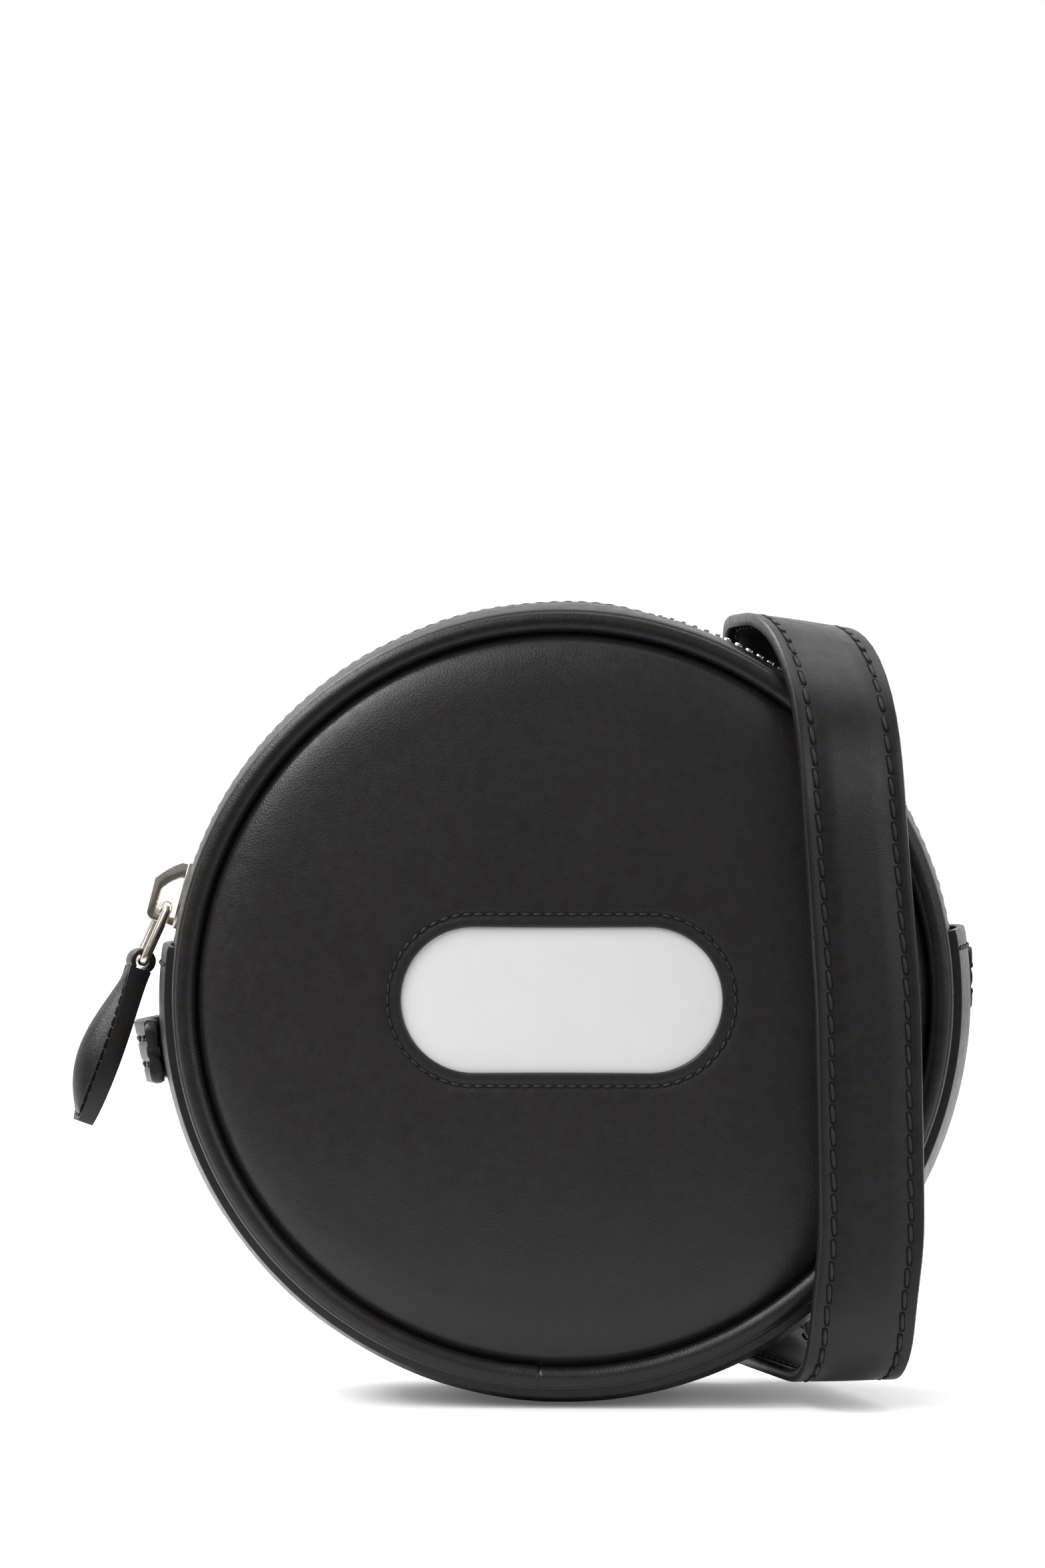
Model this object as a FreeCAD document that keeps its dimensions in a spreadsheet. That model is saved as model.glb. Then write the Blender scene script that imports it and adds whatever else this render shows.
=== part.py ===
"""Small round shoulder bag: padded leather faces, piped edges, a gusset with a zip and a flat strap.

The bag stands on the flat of its gusset. X runs to the right, Y away from the front face and Z up.
Every size is in millimetres or degrees.
"""
import FreeCAD, Part
import math
import os
import re

import Sketcher
from FreeCAD import Placement, Rotation, Vector

SIZES = {
    # Piped edge, shared by the front and the back
    "piping_ring": 77.5,
    "piping_bead": 5.0,
    "piping_flange": 1.6,
    "seam_allowance": 4.5,
    "groove": 0.3,
    # Lower gusset
    "gusset_width": 49.0,
    "gusset_stand": 4.3,
    "gusset_bow": 2.8,
    "gusset_leather": 1.7,
    "base_flat": 1.0,
    "hem_left_angle": 7.5,
    "hem_right_angle": 10.0,
    "gusset_board": 1.0,
    "lining": 0.6,
    "lining_gap": 0.7,
    # Zip gusset
    "zip_step": 2.8,
    "zip_rise": 3.0,
    "zip_bow": 0.8,
    "slot_gap": 3.15,
    "zip_lap": 9.0,
    "lap_leather": 0.8,
    "lap_gap": 1.4,
    "fit_gap": 0.3,
    # Panels
    "panel_leather": 1.6,
    "panel_turn": 11.7,
    "panel_board": 1.2,
    "board_margin": 1.0,
    "shoulder": 6.7,
    "shoulder_bow": 0.9,
    "shoulder_bow_inner": 0.5,
    "foam_edge": 0.8,
    "front_dome": 1.8,
    "back_gap": 0.2,
    "back_dome": 0.6,
    # Pale inlay under the window of the front panel
    "window_length": 66.0,
    "window_height": 30.0,
    "inlay_margin": 2.5,
    "inlay_sheet": 0.9,
    # Zip chain
    "chain_width": 5.7,
    "tape_width": 11.15,
    "tape_sheet": 0.8,
    "tape_gap": 0.05,
    "tape_drop": 0.65,
    "tooth_pitch": 2.5,
    "tooth_gap": 0.1,
    "tooth_height": 2.4,
    "tooth_overlap": 0.75,
    "tooth_bevel": 0.3,
    "stop_length": 3.0,
    # Slider
    "slider_angle": 14.5,
    "slider_length": 14.0,
    "slider_side_gap": 1.0,
    "slider_taper": 1.6,
    "slider_plate": 1.3,
    "slider_play": 0.5,
    "lower_play": 0.65,
    "slider_rail": 0.95,
    "rail_width": 0.9,
    "wedge_width": 3.0,
    "wedge_length": 4.5,
    "crown_inset": 0.3,
    "crown_window": 4.55,
    "crown_band": 1.75,
    "crown_foot": 3.2,
    "crown_width": 2.6,
    # Pull
    "ring_wire": 1.9,
    "ring_length": 12.8,
    "ring_width": 8.4,
    "ring_corner": 1.6,
    "ring_gap": 0.3,
    "pivot_rise": 2.75,
    "pivot_back": 2.9,
    "ring_tilt": 10.0,
    "pull_turn_angle": 24.0,
    "pull_lean_angle": 20.2,
    "pull_length": 38.5,
    "pull_leather": 4.0,
    "pull_dome": 0.5,
    "pull_width": 13.0,
    "loop_leather": 1.45,
    "neck_gap": 0.75,
    # Strap
    "strap_width": 22.0,
    "strap_tab": 40.0,
    "strap_tab_width": 13.5,
    "strap_taper": 45.0,
    "strap_leather": 2.6,
    "strap_gap": 0.6,
    "strap_inset": 14.5,
    "strap_lean": 4.0,
    "strap_foot_shift": 1.8,
    "strap_top_drop": 7.6,
    "strap_floor_gap": 5.2,
    "strap_fold_drop": 26.0,
    "strap_right_rise": 3.0,
    "strap_left_start": 9.0,
    "strap_right_start": 18.5,
    "strap_corner": 11.0,
    "strap_low_bend": 14.0,
    "strap_front_bend": 34.0,
    "strap_rear_bend": 10.0,
    "strap_left_angle": 7.8,
    "strap_low_angle": 15.0,
    "strap_mid_angle": 12.5,
    "strap_high_angle": 17.0,
    "strap_rear_angle": 2.0,
    "strap_roll_angle": 8.0,
}

doc = FreeCAD.newDocument("round_bag")
sheet = doc.addObject("Spreadsheet::Sheet", "Sizes")
for row, (alias, value) in enumerate(SIZES.items(), start=1):
    sheet.set(f"A{row}", alias)
    sheet.set(f"B{row}", str(value))
    sheet.setAlias(f"B{row}", alias)
doc.recompute()

# Lengths that several pieces share, written with the names of the sheet
GUSSET_EDGE = "(piping_ring + gusset_stand)"
GUSSET_CROWN = f"({GUSSET_EDGE} + gusset_bow)"
CENTRE = f"({GUSSET_CROWN} - base_flat)"
FAR = f"(2 * {GUSSET_CROWN})"
SEAM = "(gusset_width / 2)"
INNER_SEAM = "(gusset_width / 2 - gusset_leather)"
SEAM_INNER = "(piping_ring - seam_allowance)"
PANEL_EDGE = "(piping_ring - piping_bead / 2 - groove)"
SHOULDER_RADIUS = f"({PANEL_EDGE} - shoulder)"
BOARD_RADIUS = f"({SHOULDER_RADIUS} + board_margin)"
BOARD_TOP = "(panel_leather + panel_board)"
FRONT_SHOULDER = f"({BOARD_TOP} + panel_leather + foam_edge)"
FRONT_CROWN = f"({FRONT_SHOULDER} + front_dome)"
BACK_SHOULDER = f"({BOARD_TOP} + panel_leather + back_gap)"
BACK_CROWN = f"({BACK_SHOULDER} + back_dome)"
ZIP_EDGE = f"({GUSSET_EDGE} - zip_step)"
ZIP_LIP = f"({ZIP_EDGE} + zip_rise)"
ZIP_SLOT = "(chain_width + 2 * slot_gap)"
LINING_RADIUS = f"({ZIP_EDGE} - gusset_leather - lining - lining_gap)"
LAP_ANGLE = f"(zip_lap / {ZIP_LIP} * 180 / pi)"
LAYER_ANGLE = f"((zip_lap + lap_gap) / {ZIP_LIP} * 180 / pi)"
TAPE_RADIUS = f"({ZIP_LIP} - gusset_leather - tape_gap)"
TAPE_REACH = "(chain_width / 2 + tape_width)"
TAPE_MIDDLE = f"({TAPE_RADIUS} - tape_sheet / 2)"
TOOTH_WIDTH = "(tooth_pitch / 2 - tooth_gap)"
TOOTH_OUT = f"({TAPE_MIDDLE} + tooth_height / 2)"
TOOTH_IN = f"({TAPE_MIDDLE} - tooth_height / 2)"
SLIDER_WIDTH = f"({ZIP_SLOT} - 2 * slider_side_gap)"
PLATE_UNDER = f"({TOOTH_OUT} + slider_play)"
PLATE_TOP = f"({PLATE_UNDER} + slider_plate)"
LOWER_PLATE_TOP = f"({TOOTH_IN} - lower_play)"
PIVOT_RADIUS = f"({PLATE_TOP} + pivot_rise)"
PULL_HOLE = "(ring_wire + 2 * ring_gap)"
PULL_LOOP = f"({PULL_HOLE} + 2 * loop_leather)"
PULL_NECK = "(ring_width - ring_wire - 2 * neck_gap)"

pieces = []


def bind(text):
    """Put the sheet's name before every size that the text names."""
    def with_sheet(found):
        return f"Sizes.{found[0]}" if found[0] in SIZES else found[0]

    return re.sub(r"[a-z_]+", with_sheet, str(text))


def value_of(text):
    """Work out a text of sizes as a plain number."""
    return float(sheet.evalExpression(bind(text)))


def keep(item, label):
    """Give a finished piece its name and list it for export."""
    item.Label = label
    pieces.append(item)
    return item


def new_body(label, lifted=True):
    """Start a body whose origin is the middle of the bag."""
    body = doc.addObject("PartDesign::Body", label)
    if lifted:
        body.setExpression("Placement.Base.z", bind(CENTRE))
    return body


def new_sketch(body, name, plane):
    """Lay an empty sketch on one of the body's own planes."""
    sketch = body.newObject("Sketcher::SketchObject", name)
    support = next(item for item in body.Origin.OriginFeatures if item.Role == plane)
    sketch.AttachmentSupport = [(support, "")]
    sketch.MapMode = "FlatFace"
    return sketch


def hold(sketch, kind, edge, point, text):
    """Hold one point of a sketch at a distance from the origin given by the sizes."""
    number = sketch.addConstraint(Sketcher.Constraint(kind, -1, 1, edge, point, value_of(text)))
    sketch.setExpression(f"Constraints[{number}]", bind(text))


def hold_point(sketch, edge, point, place):
    """Hold one point of a sketch at a place given by the sizes."""
    for kind, text in zip(("DistanceX", "DistanceY"), place):
        hold(sketch, kind, edge, point, text)


def dome_arc(start, end):
    """Give the arc between two points that is centred on the V axis, and whether it runs anticlockwise."""
    level = (end.y ** 2 - start.y ** 2 + end.x ** 2 - start.x ** 2) / (2 * (end.y - start.y))
    centre = Vector(0, level, 0)
    radius = (start - centre).Length
    middle = centre + ((start - centre) + (end - centre)).normalize() * radius
    return middle, (start - centre).cross(end - centre).z > 0


def draw_loop(sketch, corners, bows=None, domes=()):
    """Draw a closed outline of lines and arcs.

    An edge with a bow is an arc that bulges to the right of its travel, and a dome is an arc that is
    centred on the V axis.
    """
    bows = bows or {}
    flat = [Vector(value_of(x), value_of(y), 0) for x, y in corners]
    first = sketch.GeometryCount
    count = len(corners)
    ends = {}
    for index, start in enumerate(flat):
        end = flat[(index + 1) % count]
        ends[index] = (1, 2)
        if index in domes:
            middle, forward = dome_arc(start, end)
        elif index in bows:
            bow = value_of(bows[index])
            along = (end - start).normalize()
            middle, forward = (start + end) * 0.5 + Vector(along.y, -along.x, 0) * bow, bow > 0
        else:
            sketch.addGeometry(Part.LineSegment(start, end))
            continue
        # A sketch holds every arc anticlockwise, so one that runs the other way has its ends swapped
        if not forward:
            ends[index] = (2, 1)
            start, end = end, start
        sketch.addGeometry(Part.Arc(start, middle, end))
    for index in range(count):
        following = (index + 1) % count
        sketch.addConstraint(Sketcher.Constraint(
            "Coincident", first + index, ends[index][1], first + following, ends[following][0]))
    for index, corner in enumerate(corners):
        hold_point(sketch, first + index, ends[index][0], corner)
    for index in domes:
        sketch.addConstraint(Sketcher.Constraint("PointOnObject", first + index, 3, -2))
    for index, bow in bows.items():
        (x_start, y_start), (x_end, y_end) = corners[index], corners[(index + 1) % count]
        wide, high = f"(({x_end}) - ({x_start}))", f"(({y_end}) - ({y_start}))"
        chord = f"sqrt({wide}^2 + {high}^2)"
        share = f"({chord} / (8 * ({bow})) - ({bow}) / (2 * {chord}))"
        span = flat[(index + 1) % count] - flat[index]
        if abs(span.y) > abs(span.x):
            hold(sketch, "DistanceX", first + index, 3, f"(({x_start}) + ({x_end})) / 2 - {high} * {share}")
        else:
            hold(sketch, "DistanceY", first + index, 3, f"(({y_start}) + ({y_end})) / 2 + {wide} * {share}")


def draw_circle(sketch, centre, radius):
    """Draw a circle held by its centre and radius."""
    place = Vector(value_of(centre[0]), value_of(centre[1]), 0)
    edge = sketch.addGeometry(Part.Circle(place, Vector(0, 0, 1), value_of(radius)))
    hold_point(sketch, edge, 3, centre)
    number = sketch.addConstraint(Sketcher.Constraint("Radius", edge, value_of(radius)))
    sketch.setExpression(f"Constraints[{number}]", bind(radius))


def turn(body, sketch):
    """Turn a profile once round the Y axis."""
    feature = body.newObject("PartDesign::Revolution", f"{sketch.Name}_turn")
    feature.Profile = sketch
    feature.ReferenceAxis = (sketch, ["V_Axis"])
    feature.Angle = 360
    return feature


def turned(body, name, corners, bows=None, domes=()):
    """Draw a profile in the half plane of radius and depth, and turn it."""
    sketch = new_sketch(body, name, "XY_Plane")
    draw_loop(sketch, corners, bows, domes)
    return turn(body, sketch)


def extrude(body, sketch, kind, length):
    """Pad or pocket a sketch equally to both sides of its plane."""
    feature = body.newObject(f"PartDesign::{kind}", f"{sketch.Name}_{kind.lower()}")
    feature.Profile = sketch
    feature.SideType = "Symmetric"
    feature.setExpression("Length", bind(length))
    return feature


def pocket(body, name, corners, bows=None):
    """Cut an outline, seen from the front, right through a body."""
    sketch = new_sketch(body, name, "XZ_Plane")
    draw_loop(sketch, corners, bows)
    return extrude(body, sketch, "Pocket", FAR)


def ray(angle, left):
    """Give the far point of a ray from the middle, so many degrees above the level."""
    side = "-1" if left else "1"
    return f"{side} * {FAR} * cos(({angle}) * 1 deg)", f"{FAR} * sin(({angle}) * 1 deg)"


def keep_below(body, name, left_angle, right_angle):
    """Cut away the sector above two rays."""
    pocket(body, name, [("0", "0"), ray(right_angle, False), (FAR, FAR), (f"-1 * {FAR}", FAR),
                        ray(left_angle, True)])


def keep_above(body, name, left_angle, right_angle):
    """Cut away the sector below two rays."""
    pocket(body, name, [("0", "0"), ray(left_angle, True), (f"-1 * {FAR}", f"-1 * {FAR}"),
                        (FAR, f"-1 * {FAR}"), ray(right_angle, False)])


def deep(side, height):
    """Give the depth of a level above the piping flange on the front (-1) or the back (1)."""
    return f"{side} * ({SEAM} + piping_flange + ({height}))"


def make_piping(label, side):
    """Corded piping: a round bead with the flange by which it is sewn in."""
    body = new_body(label)
    bead = new_sketch(body, f"{label}_bead", "XY_Plane")
    draw_circle(bead, ("piping_ring", f"{side} * ({SEAM} + piping_bead / 2)"), "piping_bead / 2")
    turn(body, bead)
    turned(body, f"{label}_flange", [
        (SEAM_INNER, f"{side} * {SEAM}"), ("piping_ring", f"{side} * {SEAM}"),
        ("piping_ring", deep(side, "0")), (SEAM_INNER, deep(side, "0"))])
    return keep(body, label)


def panel_profile(side, shoulder, crown):
    """Give the section of a domed leather face with its edge turned in over a board."""
    inner_rise = f"({shoulder} - panel_leather)"
    turn_in = f"({PANEL_EDGE} - panel_turn)"
    corners = [
        (turn_in, deep(side, "0")),
        (PANEL_EDGE, deep(side, "0")),
        (PANEL_EDGE, deep(side, "panel_leather")),
        (SHOULDER_RADIUS, deep(side, shoulder)),
        ("0", deep(side, crown)),
        ("0", deep(side, f"{crown} - panel_leather")),
        (SHOULDER_RADIUS, deep(side, inner_rise)),
        (f"{PANEL_EDGE} - panel_leather", deep(side, "panel_leather")),
        (turn_in, deep(side, "panel_leather")),
    ]
    bows = {2: f"{side} * shoulder_bow", 6: f"-1 * {side} * shoulder_bow_inner"}
    return corners, bows, (3, 5)


def capsule(margin):
    """Give the outline of the round-ended window, widened by a margin."""
    half = "(window_length - window_height) / 2"
    rise = f"(window_height / 2 + {margin})"
    corners = [(f"-1 * {half}", f"-1 * {rise}"), (half, f"-1 * {rise}"),
               (half, rise), (f"-1 * {half}", rise)]
    return corners, {1: rise, 3: rise}


def make_front():
    """Front face: leather with a window, pale inlay, foam, board and lining."""
    panel = new_body("front_panel")
    turned(panel, "front_panel_profile", *panel_profile(-1, FRONT_SHOULDER, FRONT_CROWN))
    pocket(panel, "front_panel_window", *capsule("0"))
    keep(panel, "front_panel")

    under_crown = f"({FRONT_CROWN} - panel_leather)"
    under_shoulder = f"({FRONT_SHOULDER} - panel_leather)"
    skin = new_body("inlay_skin")
    turned(skin, "inlay_profile", [
        ("0", deep(-1, f"{under_crown} - inlay_sheet")),
        (SHOULDER_RADIUS, deep(-1, f"{under_shoulder} - inlay_sheet")),
        (SHOULDER_RADIUS, deep(-1, under_shoulder)),
        ("0", deep(-1, under_crown))], domes=(0, 2))
    blank = new_body("inlay_blank")
    outline = new_sketch(blank, "inlay_outline", "XZ_Plane")
    draw_loop(outline, *capsule("inlay_margin"))
    extrude(blank, outline, "Pad", FAR)
    inlay = doc.addObject("Part::Common", "face_inlay")
    inlay.Base, inlay.Tool = skin, blank
    keep(inlay, "face_inlay")

    foam = new_body("foam_blank")
    turned(foam, "foam_profile", [
        ("0", deep(-1, BOARD_TOP)), (BOARD_RADIUS, deep(-1, BOARD_TOP)),
        (SHOULDER_RADIUS, deep(-1, under_shoulder)), ("0", deep(-1, under_crown))], domes=(2,))
    padding = doc.addObject("Part::Cut", "front_padding")
    padding.Base, padding.Tool = foam, inlay
    keep(padding, "front_padding")


def make_disc(label, radius, low, high):
    """Make a flat round sheet between two depths."""
    body = new_body(label)
    turned(body, f"{label}_profile", [("0", low), (radius, low), (radius, high), ("0", high)])
    return keep(body, label)


def make_back():
    """Back face: plain domed leather."""
    panel = new_body("back_panel")
    turned(panel, "back_panel_profile", *panel_profile(1, BACK_SHOULDER, BACK_CROWN))
    keep(panel, "back_panel")


def make_boards_and_linings():
    """Stiffening board and lining sheet behind each face."""
    for name, side in (("front", -1), ("back", 1)):
        make_disc(f"{name}_board", BOARD_RADIUS, deep(side, "panel_leather"), deep(side, BOARD_TOP))
        make_disc(f"{name}_lining", LINING_RADIUS, f"{side} * {INNER_SEAM}",
                  f"{side} * ({INNER_SEAM} - lining)")


def make_lower_gusset():
    """Lower gusset: crowned leather band, with the flat that the bag stands on."""
    body = new_body("lower_gusset")
    inside = f"({GUSSET_EDGE} - gusset_leather)"
    turned(body, "lower_gusset_profile", [
        (SEAM_INNER, f"-1 * {SEAM}"), (GUSSET_EDGE, f"-1 * {SEAM}"), (GUSSET_EDGE, SEAM), (SEAM_INNER, SEAM),
        (SEAM_INNER, INNER_SEAM), (inside, INNER_SEAM), (inside, f"-1 * {INNER_SEAM}"),
        (SEAM_INNER, f"-1 * {INNER_SEAM}")], {1: "gusset_bow", 5: "-1 * gusset_bow"})
    keep_below(body, "lower_gusset_hems", "hem_left_angle", "hem_right_angle")
    pocket(body, "lower_gusset_base", [
        (f"-1 * {FAR}", f"-1 * {FAR}"), (FAR, f"-1 * {FAR}"),
        (FAR, f"-1 * {CENTRE}"), (f"-1 * {FAR}", f"-1 * {CENTRE}")])
    keep(body, "lower_gusset")


def make_gusset_layer(label, outside, thickness):
    """Layer inside the lower gusset, ending short of the zip gusset's laps."""
    body = new_body(label)
    outer = f"({GUSSET_EDGE} - ({outside}))"
    inner = f"({outer} - {thickness})"
    turned(body, f"{label}_profile", [
        (outer, f"-1 * {INNER_SEAM}"), (outer, INNER_SEAM),
        (inner, INNER_SEAM), (inner, f"-1 * {INNER_SEAM}")],
        {0: "gusset_bow", 2: "-1 * gusset_bow"})
    keep_below(body, f"{label}_ends", f"hem_left_angle - {LAYER_ANGLE}", f"hem_right_angle - {LAYER_ANGLE}")
    keep(body, label)


def make_zip_gusset(label, side):
    """Half of the zip gusset: a leather band with skived ends that lap under the lower gusset."""
    body = new_body(label)
    lip = f"{side} * {ZIP_SLOT} / 2"
    turned(body, f"{label}_profile", [
        (SEAM_INNER, f"{side} * {SEAM}"), (ZIP_EDGE, f"{side} * {SEAM}"),
        (ZIP_LIP, lip), (f"{ZIP_LIP} - gusset_leather", lip),
        (f"{ZIP_EDGE} - gusset_leather", f"{side} * {INNER_SEAM}"), (SEAM_INNER, f"{side} * {INNER_SEAM}")],
        {1: f"-1 * {side} * zip_bow", 3: f"{side} * zip_bow"})
    keep_above(body, f"{label}_hems", "hem_left_angle", "hem_right_angle")
    reach = f"({INNER_SEAM} - fit_gap)"
    share = f"({SEAM} - {reach}) / ({SEAM} - {ZIP_SLOT} / 2)"
    low = f"({ZIP_EDGE} + zip_rise * {share})"
    turned(body, f"{label}_lap", [
        (ZIP_LIP, lip), (low, f"{side} * {reach}"),
        (f"{low} - lap_leather", f"{side} * {reach}"), (f"{ZIP_LIP} - lap_leather", lip)])
    keep_above(body, f"{label}_ends", f"hem_left_angle - {LAP_ANGLE}", f"hem_right_angle - {LAP_ANGLE}")
    keep(body, label)


def make_zip_sheet(label, corners):
    """Sheet under the zip gusset that runs as far as its laps."""
    body = new_body(label)
    turned(body, f"{label}_profile", corners)
    keep_above(body, f"{label}_ends", f"hem_left_angle - {LAP_ANGLE}", f"hem_right_angle - {LAP_ANGLE}")
    keep(body, label)


def make_zip_sheets():
    """Woven tape and lining strip on each side of the zip."""
    low = f"({TAPE_RADIUS} - tape_drop)"
    inner = f"({TAPE_RADIUS} - tape_sheet)"
    under = f"({inner} - tape_drop)"
    edge = f"({ZIP_EDGE} - gusset_leather - fit_gap / 2)"
    for name, side in (("front", -1), ("rear", 1)):
        bead, lip = f"{side} * chain_width / 2", f"{side} * {ZIP_SLOT} / 2"
        reach, seam = f"{side} * {TAPE_REACH}", f"{side} * {INNER_SEAM}"
        make_zip_sheet(f"zip_tape_{name}", [
            (TAPE_RADIUS, bead), (TAPE_RADIUS, lip), (low, reach),
            (under, reach), (inner, lip), (inner, bead)])
        make_zip_sheet(f"zip_lining_{name}", [
            (inner, lip), (under, reach), (edge, seam),
            (f"{edge} - lining", seam), (f"{under} - lining", reach), (f"{inner} - lining", lip)])


def on_chain(solid, angle):
    """Turn a solid made at the top of the bag to so many degrees above the left side."""
    return solid.rotated(Vector(), Vector(0, 1, 0), angle - 90)


def chain_piece(label, solids):
    """Set a group of solids on the chain as one piece."""
    item = doc.addObject("Part::Feature", label)
    item.Shape = Part.makeCompound(solids)
    item.setExpression("Placement.Base.z", bind(CENTRE))
    return keep(item, label)


def make_teeth():
    """Two rows of metal teeth that stand between each other, half a pitch apart."""
    radius = value_of(TAPE_MIDDLE)
    half = value_of(f"{TOOTH_WIDTH} / 2")
    back = value_of("chain_width / 2")
    tip = value_of("tooth_overlap")
    bevel = value_of("tooth_bevel")
    low, high = value_of(TOOTH_IN), value_of(TOOTH_OUT)
    outline = [(-half, -back), (half, -back), (half, tip - bevel), (half - bevel, tip), (bevel - half, tip),
               (-half, tip - bevel)]
    step = math.degrees(value_of("tooth_pitch") / radius)
    first = value_of("slider_angle")
    last = 180 - value_of("hem_right_angle")
    for name, side, shift in (("front", 1, 0), ("rear", -1, step / 2)):
        points = [Vector(x, side * y, low) for x, y in outline]
        tooth = Part.Face(Part.makePolygon(points + points[:1])).extrude(Vector(0, 0, high - low))
        count = int((last - first - shift) / step)
        chain_piece(f"zip_teeth_{name}", [on_chain(tooth, first + shift + step * n) for n in range(count)])


def make_stops():
    """Metal stops at the two ends of the chain, hidden under the hems."""
    low, high = value_of(TOOTH_IN), value_of(TOOTH_OUT)
    length = value_of("stop_length")
    half = value_of("chain_width / 2")
    width = value_of("chain_width / 3")
    clip = Part.makeBox(length, width, high - low, Vector(-length / 2, half - width, low))
    mirror = clip.mirror(Vector(), Vector(0, 1, 0))
    left = value_of("hem_left_angle") - math.degrees(length / value_of(TAPE_RADIUS)) / 2
    chain_piece("zip_top_stops", [on_chain(clip, left), on_chain(mirror, left)])
    bridge = Part.makeBox(length, 2 * half, high - low, Vector(-length / 2, -half, low))
    right = 180 - value_of("hem_right_angle") + math.degrees(length / value_of(TAPE_RADIUS))
    chain_piece("zip_bottom_stop", [on_chain(bridge, right)])


def tilt_to_slider(body):
    """Turn a body made at the top of the bag to the slider's place on the left."""
    body.Placement = Placement(Vector(), Rotation(Vector(0, -1, 0), value_of("90 - slider_angle")))
    body.setExpression("Placement.Base.z", bind(CENTRE))
    body.setExpression("Placement.Rotation.Angle", bind("90 - slider_angle"))


def pad_layer(body, name, corners, low, high):
    """Pad an outline seen from above between two levels."""
    sketch = new_sketch(body, name, "XY_Plane")
    sketch.setExpression("AttachmentOffset.Base.z", bind(low))
    draw_loop(sketch, corners)
    feature = body.newObject("PartDesign::Pad", f"{name}_pad")
    feature.Profile = sketch
    feature.setExpression("Length", bind(f"({high}) - ({low})"))


def make_slider_body():
    """Slider: two plates joined by the wedge that parts the teeth, with a rail along each side."""
    body = new_body("slider_body", lifted=False)
    end = "slider_length / 2"
    nose = f"{SLIDER_WIDTH} / 2"
    tail = f"({SLIDER_WIDTH} - slider_taper) / 2"
    half_plate = [(f"-1 * {end}", tail), (f"-0.75 * {end}", nose), (f"-0.1 * {end}", nose), (end, tail)]
    plate = [(x, f"-1 * {y}") for x, y in half_plate] + half_plate[::-1]
    pad_layer(body, "slider_top_plate", plate, PLATE_UNDER, PLATE_TOP)
    back = f"(-0.93 * {end})"
    wedge = "wedge_width / 2"
    waist = f"{back} + wedge_length / 2"
    pad_layer(body, "slider_wedge", [
        (back, f"-0.85 * {wedge}"), (waist, f"-1 * {wedge}"), (f"{back} + wedge_length", "0"),
        (waist, wedge), (back, f"0.85 * {wedge}")], LOWER_PLATE_TOP, PLATE_UNDER)
    pad_layer(body, "slider_lower_plate", plate, f"{LOWER_PLATE_TOP} - slider_plate", LOWER_PLATE_TOP)
    levels = (("top", f"{PLATE_UNDER} - slider_rail", PLATE_UNDER),
              ("lower", LOWER_PLATE_TOP, f"{LOWER_PLATE_TOP} + slider_rail"))
    for level, low, high in levels:
        for name, side in (("front", "-1"), ("rear", "1")):
            outer = f"{side} * {tail}"
            inner = f"{side} * ({tail} - rail_width)"
            pad_layer(body, f"slider_{level}_rail_{name}", [
                (f"-1 * {end}", inner), (end, inner), (end, outer), (f"-1 * {end}", outer)], low, high)
    tilt_to_slider(body)
    keep(body, "slider_body")


def make_slider_crown():
    """Crown: the flat bridge on the slider that the ring hangs from, blunt below and sloping above."""
    body = new_body("slider_crown", lifted=False)
    sketch = new_sketch(body, "slider_crown_arch", "XZ_Plane")
    end = "(slider_length / 2 - crown_inset)"
    inside = f"({PLATE_TOP} + crown_window)"
    outside = f"({inside} + crown_band)"
    low_wall = f"(crown_band - {end})"
    high_wall = f"({end} - crown_foot)"
    draw_loop(sketch, [
        (end, PLATE_TOP), (end, f"{PLATE_TOP} + crown_band"), (f"0.35 * {end}", outside),
        (f"-0.75 * {end}", outside), (f"-1 * {end}", inside), (f"-1 * {end}", PLATE_TOP),
        (low_wall, PLATE_TOP), (low_wall, f"{inside} - crown_band / 2"),
        (f"{low_wall} + crown_band / 2", inside), ("0", inside),
        (high_wall, f"{PLATE_TOP} + crown_band / 2"), (high_wall, PLATE_TOP)],
        {1: "0.2 * crown_band", 3: "0.25 * crown_band", 7: "-0.1 * crown_band", 9: "-0.2 * crown_band"})
    extrude(body, sketch, "Pad", "crown_width")
    tilt_to_slider(body)
    keep(body, "slider_crown")


RING_LEAN = "(slider_angle + ring_tilt)"
SLIDER_COS, SLIDER_SIN = "cos(slider_angle * 1 deg)", "sin(slider_angle * 1 deg)"
RING_PIVOT = (f"(-1 * {PIVOT_RADIUS} * {SLIDER_COS} - pivot_back * {SLIDER_SIN})", "0",
              f"({CENTRE} + {PIVOT_RADIUS} * {SLIDER_SIN} - pivot_back * {SLIDER_COS})")
RING_REACH = f"ring_length * sin({RING_LEAN} * 1 deg)"
PULL_PIVOT = (f"({RING_PIVOT[0]} - {RING_REACH} * cos(pull_turn_angle * 1 deg))",
              f"(-1 * {RING_REACH} * sin(pull_turn_angle * 1 deg))",
              f"({RING_PIVOT[2]} - ring_length * cos({RING_LEAN} * 1 deg))")


def hang(body, place, lean):
    """Hang a body, made along +X, from a place, leaning outwards and turned a little to the front."""
    x, y, z = (bind(text) for text in place)
    spin = f"rotationz({bind('pull_turn_angle')}) * rotationy(90 + {bind(lean)})"
    body.setExpression("Placement", f"placement(vector({x}; {y}; {z}); {spin})")


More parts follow.
